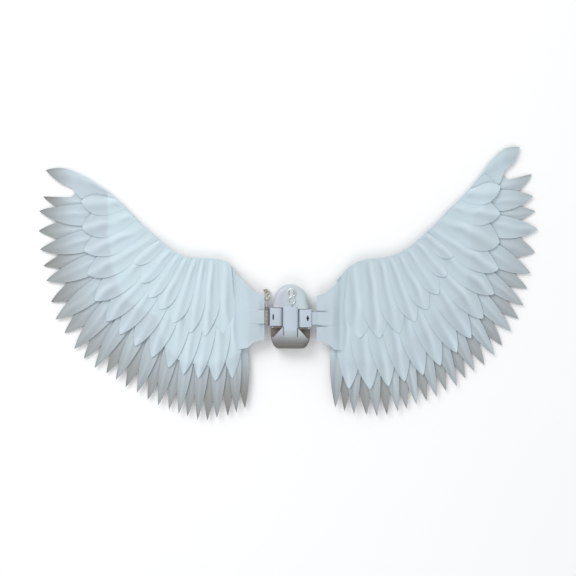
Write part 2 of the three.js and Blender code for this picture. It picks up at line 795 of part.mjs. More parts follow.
function makeFans(side) {
  const fans = [];
  for (const tier of tiers) {
    const count = featherCounts[tier.name][side];
    const fanCount = Math.floor(count / feathersPerFan);
    for (let fan = 0; fan < fanCount; fan += 1) {
      const from = fan * feathersPerFan;
      const to = fan === fanCount - 1 ? count - 1 : from + feathersPerFan - 1;
      const solids = [makeHem(side, tier, from, to)];
      for (let k = from; k <= to; k += 1) {
        solids.push(makeFeather(side, tier, k));
      }
      fans.push({ name: `${tier.name}_feathers_${side}_${fan + 1}`, geometry: join(solids) });
    }
  }
  return fans;
}

const group = new THREE.Group();
group.add(piece('back_shell', makeBackShell(), plastic));
group.add(piece('front_cover', makeFrontCover(), plastic));
group.add(piece('front_band', makeFrontBand(), plastic));
group.add(piece('front_hook', makeFrontHook(), whiteMetal));

for (const side of ['left', 'right']) {
  const way = side === 'left' ? -1 : 1;
  const place = (geometry) => (way < 0 ? mirror(geometry) : geometry);
  const fans = makeFans(side);
  const wing = new THREE.Group();
  wing.position.set(way * hingeOut, blockUp[side], hingeHeight);
  wing.rotation.y = way * droopOf(fans.map((fan) => fan.geometry));
  wing.add(piece(`block_${side}`, place(makeBlock(side)), plastic));
  wing.add(piece(`tongue_${side}`, place(makeTongue()), side === 'left' ? steel : plastic));
  wing.add(piece(`sleeve_${side}`, place(makeSleeve()), cloth));
  wing.add(piece(`backing_${side}`, place(makeBacking(side)), cloth));
  for (const fan of fans) {
    wing.add(piece(fan.name, place(fan.geometry), cloth));
  }
  if (side === 'left') {
    wing.add(piece('collar_left', place(makeCollar()), darkPlastic));
    wing.add(piece('side_link', place(makeSideLink()), whiteMetal));
    wing.add(piece('side_hook', place(makeSideHook()), steel));
  }
  group.add(wing);
  const seat = blockHeight / 2 + blockEndGap + pinSeatDepth - pinClearance;
  group.add(piece(`pin_${side}`, rod(pinRadius, way * hingeOut, hingeHeight, blockUp[side] - seat,
    blockUp[side] + seat), steel));
}

export default group;
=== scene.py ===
# %% [markdown]
# # Feathered costume wings
# A pair of white layered wings lies spread on its back. Two hinged blocks on a small motor housing
# carry them. The solid model of the part is the frame of this scene: it says where every piece is,
# and which pieces turn together. This lesson dresses that frame with fine feathers, cloth and plastic.

# %% Load the frame
import bpy
import bmesh
import json
import math
import random
from mathutils import Matrix, Vector, noise


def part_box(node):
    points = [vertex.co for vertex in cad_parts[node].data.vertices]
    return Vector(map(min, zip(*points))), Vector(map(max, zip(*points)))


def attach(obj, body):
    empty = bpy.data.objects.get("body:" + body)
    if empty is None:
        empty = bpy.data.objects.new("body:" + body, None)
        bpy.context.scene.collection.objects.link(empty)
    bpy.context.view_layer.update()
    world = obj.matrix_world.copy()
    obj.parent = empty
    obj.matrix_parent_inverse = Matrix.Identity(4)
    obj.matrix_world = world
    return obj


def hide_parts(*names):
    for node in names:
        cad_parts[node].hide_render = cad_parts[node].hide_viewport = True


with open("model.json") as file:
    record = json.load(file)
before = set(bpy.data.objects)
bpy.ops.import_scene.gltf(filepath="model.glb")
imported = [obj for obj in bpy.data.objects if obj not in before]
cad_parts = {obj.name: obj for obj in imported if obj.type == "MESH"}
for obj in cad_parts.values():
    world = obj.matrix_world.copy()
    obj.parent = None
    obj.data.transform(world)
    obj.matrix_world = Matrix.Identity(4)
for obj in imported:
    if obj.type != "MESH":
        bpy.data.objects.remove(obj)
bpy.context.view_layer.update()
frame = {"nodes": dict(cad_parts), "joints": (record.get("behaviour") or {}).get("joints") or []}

MM = 0.001
JOINTS = {joint["name"]: joint for joint in frame["joints"]}

# %% [markdown]
# ## Camera
# The wings were photographed from straight above with a long lens, so that nothing leans. A camera
# without a turn looks straight down, with the picture's top towards +Y. Its lens follows from the
# width of ground that the picture covers.

# %% Camera above the wings
PICTURE_WIDTH = 1214 * MM
PICTURE_MIDDLE = (-5.3 * MM, 59.7 * MM)
CAMERA_HEIGHT = 2.75
SHARP_PLANE = 20 * MM

camera_data = bpy.data.cameras.new("camera")
camera_data.lens = camera_data.sensor_width * (CAMERA_HEIGHT - SHARP_PLANE) / PICTURE_WIDTH
camera_data.clip_end = 50
camera = bpy.data.objects.new("camera", camera_data)
camera.location = (*PICTURE_MIDDLE, CAMERA_HEIGHT)
bpy.context.scene.collection.objects.link(camera)
bpy.context.scene.camera = camera
print("lens, mm:", round(camera_data.lens, 1))

# %% [markdown]
# ## Helpers for pieces
# Every piece is drawn in a bmesh and becomes one object at the origin. Edges where two faces meet at
# a steep angle stay sharp, and all the others are shaded smooth.

# %% From bmesh to object
SHARP_ANGLE = math.radians(38)


def mix(first, second, share):
    return first + (second - first) * share


def smooth_step(low, high, value):
    share = max(0.0, min(1.0, (value - low) / (high - low)))
    return share * share * (3 - 2 * share)


def shade(bm):
    """Smooth faces with sharp edges where the surface turns steeply."""
    for face in bm.faces:
        face.smooth = True
    for edge in bm.edges:
        edge.smooth = not (edge.is_manifold and edge.calc_face_angle(0) > SHARP_ANGLE)


def to_object(bm, name, material):
    shade(bm)
    mesh = bpy.data.meshes.new(name)
    bm.to_mesh(mesh)
    bm.free()
    mesh.materials.append(material)
    piece = bpy.data.objects.new(name, mesh)
    bpy.context.scene.collection.objects.link(piece)
    return piece


def dress(piece, body, slot, *nodes):
    """Puts a finished piece on its body and hides the solids that it stands for. The slot is not used."""
    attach(piece, body)
    if nodes:
        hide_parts(*nodes)
    return piece


# %% [markdown]
# ## Shared surface effects
# Most finishes here need the same three things: a tint that drifts softly over the surface, a fine
# grain, and thin lines that run along a sheet. Each is a node group, built once, that puts out only
# a colour or a height, and each material places it with its own values.

# %% Node helpers
def srgb(red, green, blue):
    """A colour as a screen shows it, from 0 to 255, as the shader's linear colour."""
    linear = [((v / 255 + 0.055) / 1.055) ** 2.4 for v in (red, green, blue)]
    return (*linear, 1)


def add(tree, kind, values=(), **settings):
    """Adds a node, sets its settings, and fills or links its inputs by name or number."""
    made = tree.nodes.new(kind)
    for name, value in settings.items():
        setattr(made, name, value)
    for name, value in dict(values).items():
        if isinstance(value, bpy.types.NodeSocket):
            tree.links.new(value, made.inputs[name])
        else:
            made.inputs[name].default_value = value
    return made


def new_group(name, inputs, outputs):
    """An empty shader group: inputs are (name, kind, default) and outputs are (name, kind)."""
    tree = bpy.data.node_groups.new(name, "ShaderNodeTree")
    for title, kind, default in inputs:
        tree.interface.new_socket(title, in_out="INPUT", socket_type=kind).default_value = default
    for title, kind in outputs:
        tree.interface.new_socket(title, in_out="OUTPUT", socket_type=kind)
    return tree, add(tree, "NodeGroupInput").outputs, add(tree, "NodeGroupOutput")


def mixed(tree, factor, first, second, blend="MIX"):
    """The colour output of a colour mix. Sockets 6 and 7 are its two colours."""
    return add(tree, "ShaderNodeMix", {0: factor, 6: first, 7: second},
               data_type="RGBA", blend_type=blend).outputs[2]


def math_node(tree, operation, *values):
    return add(tree, "ShaderNodeMath", dict(enumerate(values)), operation=operation).outputs[0]


def attribute(tree, name):
    """A number that the vertices of a sheet carry."""
    return add(tree, "ShaderNodeAttribute", attribute_name=name).outputs["Fac"]


# %% Three shared effects
def make_drift():
    """A colour that drifts towards a second one in soft clouds."""
    tree, given, out = new_group("soft_drift", [
        ("Color", "NodeSocketColor", (1, 1, 1, 1)), ("Second", "NodeSocketColor", (1, 1, 1, 1)),
        ("Size", "NodeSocketFloat", 8.0), ("Amount", "NodeSocketFloat", 0.5)],
        [("Color", "NodeSocketColor")])
    place = add(tree, "ShaderNodeTexCoord").outputs["Object"]
    cloud = add(tree, "ShaderNodeTexNoise", {"Vector": place, "Scale": given["Size"], "Detail": 3.0})
    edge = add(tree, "ShaderNodeMapRange", {"Value": cloud.outputs[0], "From Min": 0.35, "From Max": 0.68})
    share = math_node(tree, "MULTIPLY", edge.outputs[0], given["Amount"])
    tree.links.new(mixed(tree, share, given["Color"], given["Second"]), out.inputs[0])
    return tree


def make_grain():
    """A fine even grain for bump, and a slow patchiness for roughness."""
    tree, given, out = new_group("fine_grain", [
        ("Size", "NodeSocketFloat", 900.0), ("Smooth", "NodeSocketFloat", 0.35),
        ("Rough", "NodeSocketFloat", 0.5)],
        [("Height", "NodeSocketFloat"), ("Roughness", "NodeSocketFloat")])
    place = add(tree, "ShaderNodeTexCoord").outputs["Object"]
    fine = add(tree, "ShaderNodeTexNoise", {"Vector": place, "Scale": given["Size"], "Detail": 2.0})
    slow = add(tree, "ShaderNodeTexNoise", {"Vector": place, "Scale": 45.0, "Detail": 3.0})
    rough = add(tree, "ShaderNodeMapRange", {"Value": slow.outputs[0], "From Min": 0.3, "From Max": 0.7,
                                             "To Min": given["Smooth"], "To Max": given["Rough"]})
    tree.links.new(fine.outputs[0], out.inputs[0])
    tree.links.new(rough.outputs[0], out.inputs[1])
    return tree


def make_lines():
    """Thin parallel lines on a sheet, from its own lengthwise and crosswise places in metres."""
    tree, given, out = new_group("sheet_lines", [
        ("Spacing", "NodeSocketFloat", 0.002), ("Slope", "NodeSocketFloat", 1.0)],
        [("Height", "NodeSocketFloat")])
    side = math_node(tree, "ABSOLUTE", attribute(tree, "across"))
    slant = math_node(tree, "MULTIPLY", side, given["Slope"])
    past = math_node(tree, "SUBTRACT", attribute(tree, "along"), slant)
    line = math_node(tree, "DIVIDE", past, given["Spacing"])
    wave = math_node(tree, "SINE", math_node(tree, "MULTIPLY", line, 2 * math.pi))
    tree.links.new(math_node(tree, "MULTIPLY_ADD", wave, 0.5, 0.5), out.inputs[0])
    return tree


DRIFT = make_drift()
GRAIN = make_grain()
LINES = make_lines()
print("shared effects:", DRIFT.name, GRAIN.name, LINES.name)

# %% [markdown]
# ## Materials
# A principled shader takes each finish. Its fixed values, such as sheen, are set on the shader itself,
# and colour, roughness and normal come from the shared effects.

# %% Base of every material
def new_material(name, **fixed):
    """A material, its node tree and its shader, with the shader's fixed values set by name."""
    material = bpy.data.materials.new(name)
    material.use_nodes = True
    tree = material.node_tree
    shader = tree.nodes["Principled BSDF"]
    for title, value in fixed.items():
        shader.inputs[title.replace("_", " ")].default_value = value
    return material, tree, shader


def place_group(tree, group, **values):
    made = add(tree, "ShaderNodeGroup", node_tree=group)
    for title, value in values.items():
        if isinstance(value, bpy.types.NodeSocket):
            tree.links.new(value, made.inputs[title])
        else:
            made.inputs[title].default_value = value
    return made.outputs


def bump(tree, height, depth, normal=None):
    """A normal that a height from 0 to 1 raises by depth in metres."""
    values = {"Height": height, "Distance": depth, "Strength": 1.0}
    if normal is not None:
        values["Normal"] = normal
    return add(tree, "ShaderNodeBump", values).outputs[0]


def grain_normal(tree, shader, size, smooth, rough, depth):
    """Patchy roughness for a shader, from smooth to rough, and the normal of a fine grain."""
    grain = place_group(tree, GRAIN, Size=size, Smooth=smooth, Rough=rough)
    tree.links.new(grain["Roughness"], shader.inputs["Roughness"])
    return bump(tree, grain["Height"], depth)


# %% [markdown]
# ### Feather sheet
# The feathers are cut from soft matte white sheet, thin enough that a second sheet behind them
# would send light back through; that paler zone is painted. Three numbers on every vertex steer the
# colour: how much of that second sheet lies behind, for the painted paler white; how deep in the
# layers the spot is, for painted shade; and whether it lies on a pressed fold, which gets a painted
# highlight, or beside one, which gets painted shade.

# %% Feather sheet
# Painted light: a paler white where the second sheet lies behind, a greyer white where none does.
BACKED_WHITE = srgb(195, 212, 220)
SINGLE_WHITE = srgb(184, 197, 206)
# Painted shade for under-feathers, tips and deep layers, with a little random tone.
PAINTED_SHADE_GREY = srgb(137, 136, 133)
GREEN_TINT = srgb(186, 202, 202)
# A painted highlight on each feather's fold, and painted shade beside it.
FOLD_HIGHLIGHT = srgb(216, 230, 238)
FOLD_SHADE = srgb(150, 161, 172)
BARB_SPACING = 2.4 * MM


def feather_material():
    material, tree, shader = new_material("feather_sheet", Sheen_Weight=0.12, Specular_IOR_Level=0.25)
    white = mixed(tree, attribute(tree, "backed"), SINGLE_WHITE, BACKED_WHITE)
    tinted = place_group(tree, DRIFT, Color=white, Second=GREEN_TINT, Size=14.0, Amount=0.3)["Color"]
    painted_fold_light = attribute(tree, "painted_fold_light")
    beside = math_node(tree, "MAXIMUM", math_node(tree, "MULTIPLY", painted_fold_light, -1.0), 0.0)
    shaded = mixed(tree, beside, mixed(tree, painted_fold_light, tinted, FOLD_HIGHLIGHT), FOLD_SHADE)
    color = mixed(tree, attribute(tree, "depth"), shaded, PAINTED_SHADE_GREY)
    tree.links.new(color, shader.inputs["Base Color"])
    felt = grain_normal(tree, shader, 1300.0, 0.62, 0.8, 0.05 * MM)
    barbs = place_group(tree, LINES, Spacing=BARB_SPACING, Slope=1.3)["Height"]
    tree.links.new(bump(tree, barbs, 0.03 * MM, felt), shader.inputs["Normal"])
    return material


FEATHER = feather_material()


# %% [markdown]
# ### Sleeve cloth
# The sleeves are plain white woven cloth. Two sets of fine lines, one along and one across the
# cloth, are enough for a weave that is far finer than a pixel of the main picture. Towards the
# feathers the cloth takes on their paler white, and the sewn lines get painted shade.

# %% Sleeve cloth
FEATHER_MEETING = srgb(190, 206, 214)
MEETING_FROM, MEETING_TO = 20 * MM, 50 * MM
SEAM_SHADE = srgb(128, 134, 148)


def sleeve_material():
    material, tree, shader = new_material("sleeve_cloth", Sheen_Weight=0.2, Specular_IOR_Level=0.2)
    color = place_group(tree, DRIFT, Color=srgb(188, 202, 210), Second=srgb(180, 192, 201), Size=30.0,
                        Amount=0.6)["Color"]
    meeting = add(tree, "ShaderNodeMapRange", {"Value": attribute(tree, "across"), "From Min": MEETING_FROM,
                                               "From Max": MEETING_TO}).outputs[0]
    pale = mixed(tree, meeting, color, FEATHER_MEETING)
    tree.links.new(mixed(tree, attribute(tree, "seam"), pale, SEAM_SHADE), shader.inputs["Base Color"])
    felt = grain_normal(tree, shader, 1800.0, 0.75, 0.9, 0.05 * MM)
    warp = place_group(tree, LINES, Spacing=0.8 * MM, Slope=0.0)["Height"]
    weft = place_group(tree, LINES, Spacing=0.8 * MM, Slope=1.0)["Height"]
    weave = math_node(tree, "MULTIPLY", warp, weft)
    tree.links.new(bump(tree, weave, 0.06 * MM, felt), shader.inputs["Normal"])
    return material


SLEEVE = sleeve_material()


# %% [markdown]
# ### Plastic and metal
# The housing is satin white plastic, a little warmer towards one side. Painted shade darkens it from
# the flare down to its lower end, and low on the shell below the blocks. The collar is dark plastic,
# the tongue worn steel, and the hooks are bright metal.

# %% Plastics and metals
def ramp(tree, value, start, end):
    """A soft step from 0 at start to 1 at end."""
    return add(tree, "ShaderNodeMapRange", {"Value": value, "From Min": start, "From Max": end},
               interpolation_type="SMOOTHSTEP").outputs[0]


def plastic_material(name, color, second, smooth, rough, painted_shade_color=None):
    material, tree, shader = new_material(name, Coat_Weight=0.08, Specular_IOR_Level=0.45)
    tinted = place_group(tree, DRIFT, Color=color, Second=second, Size=22.0, Amount=0.4)["Color"]
    if painted_shade_color is not None:
        place = add(tree, "ShaderNodeSeparateXYZ", {0: add(tree, "ShaderNodeTexCoord").outputs["Object"]})
        aside = ramp(tree, place.outputs["X"], 6 * MM, -22 * MM)
        # Painted shade: darker towards the lower end, and low on the shell below the blocks.
        end = ramp(tree, place.outputs["Y"], -24 * MM, -62 * MM)
        rim = ramp(tree, place.outputs["Z"], 36 * MM, 29 * MM)
        below = ramp(tree, place.outputs["Y"], -20 * MM, -34 * MM)
        shade_mask = math_node(tree, "MAXIMUM", math_node(tree, "MULTIPLY", end, 0.94),
                         math_node(tree, "MULTIPLY", rim, below))
        tinted = mixed(tree, shade_mask, mixed(tree, aside, tinted, second), painted_shade_color)
    tree.links.new(tinted, shader.inputs["Base Color"])
    tree.links.new(grain_normal(tree, shader, 1500.0, smooth, rough, 0.03 * MM), shader.inputs["Normal"])
    return material


def metal_material(name, color, second, smooth, rough, metallic):
    material, tree, shader = new_material(name, Metallic=metallic)
    tinted = place_group(tree, DRIFT, Color=color, Second=second, Size=160.0, Amount=0.9)["Color"]
    tree.links.new(tinted, shader.inputs["Base Color"])
    tree.links.new(grain_normal(tree, shader, 2500.0, smooth, rough, 0.03 * MM), shader.inputs["Normal"])
    return material


HOUSING = plastic_material("housing_plastic", srgb(192, 208, 210), srgb(184, 187, 198), 0.3, 0.45,
                           painted_shade_color=srgb(98, 95, 88))
BLOCK = plastic_material("block_plastic", srgb(186, 198, 209), srgb(180, 192, 203), 0.35, 0.5,
                         painted_shade_color=srgb(122, 122, 118))
# Painted shade in the cover's pockets, grooves and ear recesses.
RECESS = plastic_material("shaded_recess", srgb(122, 114, 106), srgb(104, 97, 90), 0.5, 0.7)
# Paler painted shade for the bays that the blocks turn in.
BAY = plastic_material("bay_plastic", srgb(168, 176, 186), srgb(158, 166, 176), 0.5, 0.7)
# Painted shade, near black, inside the latch slots.
OPENING = plastic_material("dark_opening", srgb(36, 38, 44), srgb(28, 28, 32), 0.6, 0.8)
COLLAR = plastic_material("dark_plastic", srgb(96, 92, 86), srgb(76, 72, 66), 0.4, 0.6)
TONGUE = metal_material("tongue_metal", srgb(168, 170, 162), srgb(124, 122, 114), 0.4, 0.6, 0.3)
HOOK = metal_material("hook_metal", srgb(226, 234, 234), srgb(196, 204, 202), 0.15, 0.3, 0.6)
BRASS = metal_material("side_hook_metal", srgb(196, 194, 178), srgb(150, 146, 126), 0.2, 0.4, 0.5)

# %% [markdown]
# ## Plan of a wing
# A wing is a fan. Each row of the table is a station: where a feather's root lies on the leading edge
# and where its tip lies on the trailing edge. A smooth curve through the rows gives every place in
# between, so one function draws all the feathers, the sheet behind them and the sewn edge.

# %% Stations along the wings
WING_REACH = 488 * MM
BLOCK_FACE = 19 * MM
COLUMNS = ("place", "root_out", "root_up", "tip_out", "tip_up", "bow")
STATIONS = {
    "left": [
        (0.00, 0.138, 0.172, 0.108, -0.389, 0.00),
        (0.08, 0.178, 0.232, 0.190, -0.425, 0.00),
        (0.15, 0.229, 0.250, 0.275, -0.438, 0.00),
        (0.30, 0.294, 0.254, 0.443, -0.396, -0.01),
        (0.44, 0.355, 0.259, 0.613, -0.300, -0.02),
        (0.59, 0.415, 0.284, 0.797, -0.180, -0.02),
        (0.70, 0.471, 0.328, 0.920, -0.015, 0.00),
        (0.78, 0.519, 0.367, 0.970, 0.158, 0.03),
        (0.85, 0.571, 0.414, 0.993, 0.292, 0.05),
        (0.93, 0.623, 0.470, 1.000, 0.465, 0.05),
        (0.965, 0.657, 0.502, 0.982, 0.530, 0.04),
        (1.00, 0.690, 0.532, 0.969, 0.635, -0.04),
    ],
    "right": [
        (0.00, 0.123, 0.178, 0.105, -0.379, 0.00),
        (0.07, 0.168, 0.224, 0.185, -0.408, 0.00),
        (0.14, 0.223, 0.252, 0.283, -0.415, 0.00),
        (0.29, 0.309, 0.262, 0.463, -0.368, -0.01),
        (0.43, 0.374, 0.280, 0.626, -0.283, -0.02),
        (0.57, 0.435, 0.316, 0.785, -0.156, -0.02),
        (0.69, 0.487, 0.362, 0.903, 0.020, 0.00),
        (0.79, 0.543, 0.412, 0.954, 0.210, 0.02),
        (0.86, 0.590, 0.463, 0.978, 0.396, 0.04),
        (0.93, 0.646, 0.515, 0.961, 0.535, 0.06),
        (0.965, 0.676, 0.547, 0.957, 0.622, 0.05),
        (1.00, 0.705, 0.580, 0.905, 0.741, -0.04),
    ],
}


def smooth_rows(rows, column, place):
    """The value of a column at a place, on a smooth curve through the rows."""
    last = len(rows) - 1

    def slope(k):
        before, after = rows[max(0, k - 1)], rows[min(last, k + 1)]
        return (after[column] - before[column]) / (after[0] - before[0])

    if place <= rows[0][0]:
        return rows[0][column] + slope(0) * (place - rows[0][0])
    if place >= rows[last][0]:
        return rows[last][column] + slope(last) * (place - rows[last][0])
    k = next(i for i, row in enumerate(rows) if row[0] > place) - 1
    span = rows[k + 1][0] - rows[k][0]
    t = (place - rows[k][0]) / span
    start = rows[k][column] * (2 * t ** 3 - 3 * t ** 2 + 1)
    end = rows[k + 1][column] * (3 * t ** 2 - 2 * t ** 3)
    start_slope = slope(k) * span * (t ** 3 - 2 * t ** 2 + t)
    end_slope = slope(k + 1) * span * (t ** 3 - t ** 2)
    return start + end + start_slope + end_slope


def wing_point(side, place, along):
    """Outward and upward place in the wing's plan, from the hinge's axis, in metres."""
    root_out, root_up, tip_out, tip_up, bow = (
        smooth_rows(STATIONS[side], column, place) for column in range(1, len(COLUMNS)))
    aside = 4 * along * (1 - along) * bow
    out = mix(root_out, tip_out, along) + (tip_up - root_up) * aside
    up = mix(root_up, tip_up, along) - (tip_out - root_out) * aside
    return BLOCK_FACE + out * WING_REACH, up * WING_REACH


# %% [markdown]
# The wings droop a little, from the hinges down to the floor. The solid tongue shows by how much: the
# line through the middles of its two ends is the wing's own outward axis.

# %% From the wing's plan to the scene
def droop_of(side):
    corners = [vertex.co for vertex in frame["nodes"][f"tongue_{side}"].data.vertices]
    middle = sum(abs(c.x) for c in corners) / len(corners)
    ends = [[c for c in corners if (abs(c.x) > middle) == far] for far in (False, True)]
    near, far = (Vector((sum(abs(c.x) for c in end), 0, sum(c.z for c in end))) / len(end) for end in ends)
    return math.atan2(near.z - far.z, far.x - near.x)


def wing_matrix(side):
    """Takes a wing's own outward, upward and height to the scene."""
    way = -1 if side == "left" else 1
    hinge = Vector(JOINTS[f"{side}_wing_hinge"]["pos_m"])
    turn = Matrix.Rotation(way * droop_of(side), 4, "Y")
    return Matrix.Translation(hinge) @ turn @ Matrix.Diagonal((way, 1, 1, 1))


TO_SCENE = {side: wing_matrix(side) for side in ("left", "right")}
print("droop, degrees:", {side: round(math.degrees(droop_of(side)), 2) for side in TO_SCENE})

# %% [markdown]
# ## Layers of feathers
# Three tiers of feathers overlap like roof tiles. In the lowest tier every second feather lies behind
# its two neighbours, which together with painted shade on the ones behind gives the wing its
# alternating light and dark tips. The other tiers are shingled: each feather tilts, so that its edge
# towards the body lies over its neighbour there, and sinks towards its tip onto the tier below. Light
# from above the wing leaves a thin shadow below each edge.

# %% Sizes of the layers
TIERS = (
    {"name": "outer", "layer": 0, "left": 28, "right": 29, "first": 0, "last": 1, "taper": (0.4, 0.66)},
    {"name": "middle", "layer": 1, "left": 14, "right": 14, "first": 0.05, "last": 0.965, "taper": (0.5, 0.8)},
    {"name": "inner", "layer": 2, "left": 8, "right": 8, "first": 0.1, "last": 0.7, "taper": (0.55, 0.8)},
)
FEATHERS_PER_FAN = 4
SHEET = 0.9 * MM
SOLID_SHEET = 1.2 * MM
LIFT = 2.2 * MM
HALF_PITCHES = 0.88
ROOT_SHARE = 0.55
SPREAD_ALONG = 0.35
TIP_LEADING_SHARE = 0.3
TIP_BODY_SHARE = 0.45
TIP_TAPER = 0.34
BESIDE_TIP_SHARE = 0.25
LAYER_GAP = 0.3 * MM
SHEET_GAP = 0.6 * MM
BACKING = 2 * MM
SLEEVE_THICKNESS = 8.6 * MM


def spread(along, root=ROOT_SHARE):
    """Feathers are narrow at the root and reach their full width a little way down."""
    return mix(root, 1, min(1, along / SPREAD_ALONG))


def tier_height(along):
    return 2 * LIFT * HALF_PITCHES * spread(along) + SOLID_SHEET


def layer_middle(layer, along):
    """Height of the middle of a tier, from the middle of the tongue."""
    full = tier_height(1) + LAYER_GAP
    lowest = -SLEEVE_THICKNESS / 2 - LAYER_GAP - 1.5 * full - BACKING - SHEET_GAP
    behind = BACKING + SHEET_GAP if layer else 0
    return lowest + layer * (tier_height(along) + LAYER_GAP) + behind


# %% [markdown]
# Short rows give how far each tier reaches towards the trailing edge. The sheet that carries the
# feathers ends along such a curve too, and where it lies behind them the feathers are painted paler.

# %% Reach of the tiers and of the sheet
EVEN = [(0, 1), (1, 1)]
REACHES = {
    "left": {
        "outer": EVEN,
        "middle": [(0, 0.76), (0.3, 0.75), (0.5, 0.71), (0.7, 0.67), (0.85, 0.58), (1, 0.46)],
        "inner": [(0, 0.42), (0.2, 0.49), (0.35, 0.46), (0.5, 0.39), (0.7, 0.27), (1, 0.17)],
        "sheet": [(0, 0.57), (0.1, 0.66), (0.2, 0.67), (0.32, 0.67), (0.375, 0.60), (0.42, 0.50),
                  (0.52, 0.48), (0.66, 0.48), (0.76, 0.40), (0.82, 0.36), (0.89, 0.27), (0.97, 0.13),
                  (1, 0.04)],
    },
    "right": {
        "outer": EVEN,
        "middle": [(0, 0.83), (0.3, 0.83), (0.5, 0.80), (0.7, 0.73), (0.85, 0.61), (1, 0.46)],
        "inner": [(0, 0.46), (0.2, 0.52), (0.35, 0.48), (0.5, 0.41), (0.7, 0.29), (1, 0.17)],
        "sheet": [(0, 0.63), (0.1, 0.66), (0.2, 0.67), (0.27, 0.62), (0.36, 0.58), (0.49, 0.50),
                  (0.63, 0.52), (0.75, 0.42), (0.80, 0.36), (0.87, 0.30), (0.92, 0.40), (0.96, 0.48),
                  (0.985, 0.36), (1, 0.25)],
    },
}
EDGE_BLUR, EDGE_WANDER = 0.02, 0.03
# How strongly the second sheet's painted paleness shows on each wing.
BACKED_SHARES = {"left": (0, 1), "right": (0.1, 0.5)}


def reach_at(side, name, place):
    return smooth_rows(REACHES[side][name], 1, place)


def backed_at(side, place, along):
    wander = EDGE_WANDER * noise.noise(Vector((14 * place, 3, 1)))
    edge = reach_at(side, "sheet", min(1, max(0, place))) + wander
    return 1 - smooth_step(edge - EDGE_BLUR, edge + EDGE_BLUR, along)


# %% [markdown]
# ### One feather
# A feather starts as a flat grid of a bmesh operator. A function then places each vertex: how far
# along the feather it is, how far to the side, and how high the cupped surface is there. The grid's
# rows gather towards the tip, where the outline turns fastest. A soft fold runs down each feather:
# a low ridge in its shape, with a painted highlight on it and painted shade beside it. Smooth noise
# makes it wander, so that no two are alike. Under-feathers, tips and the outer feathers near the
# body get painted shade, with a little random tone.

# %% Draw a feather
# Strength, width and place of the painted highlight and painted shade along each feather's fold.
FOLD_LIGHT, FOLD_WIDTH = 0.36, 0.14
FOLD_PLACE, OVER_FOLD, FOLD_BEND = 0.03, 0.2, 0.15
FOLD_DARK, HOLLOW_PLACE, HOLLOW_WIDTH = 0.26, 0.3, 0.18
# How much painted shade the outer feathers get: over, under, near the body and at the tips. DARK_LUCK adds
# random tone.
OVER_DARK, BODY_DARK, DARK_LUCK = 0.03, 0.2, 0.08
UNDER_DARK = {"left": 0.2, "right": 0.32}
TIP_DARK = {"left": (0.6, 0.85), "right": (0.4, 0.3)}
FAR_WHITE = {"left": 0, "right": 0.5}
ROWS = 28
COLUMNS_ACROSS = {"outer": 10, "middle": 16, "inner": 20}
TIP_HALF = 0.015
TIP_GATHER = 1.6
ROOT_WIDTH = 0.57
POINTED = {"outer": 0.85, "middle": 0.75, "inner": 0.75}
CUP = {"outer": 1.6 * MM, "middle": 0.5 * MM, "inner": 0.4 * MM}
RIDGE = {"outer": 0.3 * MM, "middle": 0.6 * MM, "inner": 0.6 * MM}
PLEAT = {"middle": 0.15 * MM, "inner": 0.2 * MM}
SINK = {"outer": 0.3 * MM, "middle": 1.0 * MM, "inner": 3.2 * MM}
TIP_SINK = {"middle": 2.0 * MM, "inner": 1.6 * MM}
FREE_FROM = {"outer": 0.1, "middle": 0.4, "inner": 0.45}
ALTERNATE = 1.2 * MM
TILT = 2.2 * MM
ROOT_TILT = 0.4
BARE_SINK = 1.1 * MM
SIDE_SINK = 2.4 * MM
SWAY, STRETCH = 0.07, 0.018
SEED = 11


def feather_half(share, along, taper, power):
    """Half of a feather's width, in pitches between feathers."""
    to_tip = min(1, (1 - share) / taper)
    return max(TIP_HALF, HALF_PITCHES * spread(along, ROOT_WIDTH) * math.sin(math.pi / 2 * to_tip) ** power)


def is_over(tier, index):
    """Whether an outer feather lies over its neighbours. The last one does."""
    return (tier["count"] - 1 - index) % 2 == 0


def feather_level(tier, index, share, offset, across, bare, wander):
    """Height of a feather's surface over the middle of its tier. across runs from -1 to 1."""
    name = tier["name"]
    free = smooth_step(FREE_FROM[name], 0.9, share)
    ridge = (1 + wander) * RIDGE[name] * (math.cos(math.pi / 2 * across) - 0.5) * (1 - 0.75 * free)
    cup = CUP[name] * abs(across) ** 1.3 * free
    if name == "outer":
        return (ALTERNATE if is_over(tier, index) else -ALTERNATE) + ridge + cup - SINK[name]
    pleat = PLEAT[name] * math.cos(4 * math.pi * offset) * (1 - smooth_step(0.25, 0.65, share))
    to_tip = smooth_step(0.6, 1, share)
    sink = SINK[name] * smooth_step(0, 0.55, share) + TIP_SINK[name] * to_tip
    if name == "middle":
        sink += BARE_SINK * to_tip * bare
    if index == 0:
        sink += SIDE_SINK * max(0, -across) ** 1.5 * smooth_step(0.3, 0.6, share)
        offset = max(0, offset)
    return -TILT * offset * mix(ROOT_TILT, 1, free) + ridge + cup + pleat - sink


def painted_fold_light_at(tier, index, share, offset, wander):
    """Painted light on a feather: from 1, a painted highlight on the fold that runs down it, to -1, painted
    shade in the hollow on its body side.
    """
    start = OVER_FOLD if tier["name"] == "outer" and is_over(tier, index) else FOLD_PLACE
    place = mix(start, 0, smooth_step(0.5, 1, share)) + FOLD_BEND * wander
    light = math.exp(-((offset - place) / FOLD_WIDTH) ** 2)
    dark = math.exp(-((offset - place + HOLLOW_PLACE) / HOLLOW_WIDTH) ** 2)
    strength = smooth_step(0, 0.1, share) * (1 + wander)
    return strength * (FOLD_LIGHT * light - FOLD_DARK * dark)


def side_shares(tier, index, share):
    """Shares of a feather's half width towards the body and towards the wing's tip."""
    last = tier["count"] - 1
    if tier["name"] == "outer":
        narrow = smooth_step(0.45, 0.65, share)
        if index == last:
            return mix(1, TIP_BODY_SHARE, narrow), TIP_LEADING_SHARE
        if index == last - 1:
            return 1, mix(1, BESIDE_TIP_SHARE, narrow)
    return 1, TIP_LEADING_SHARE if index == last else 1


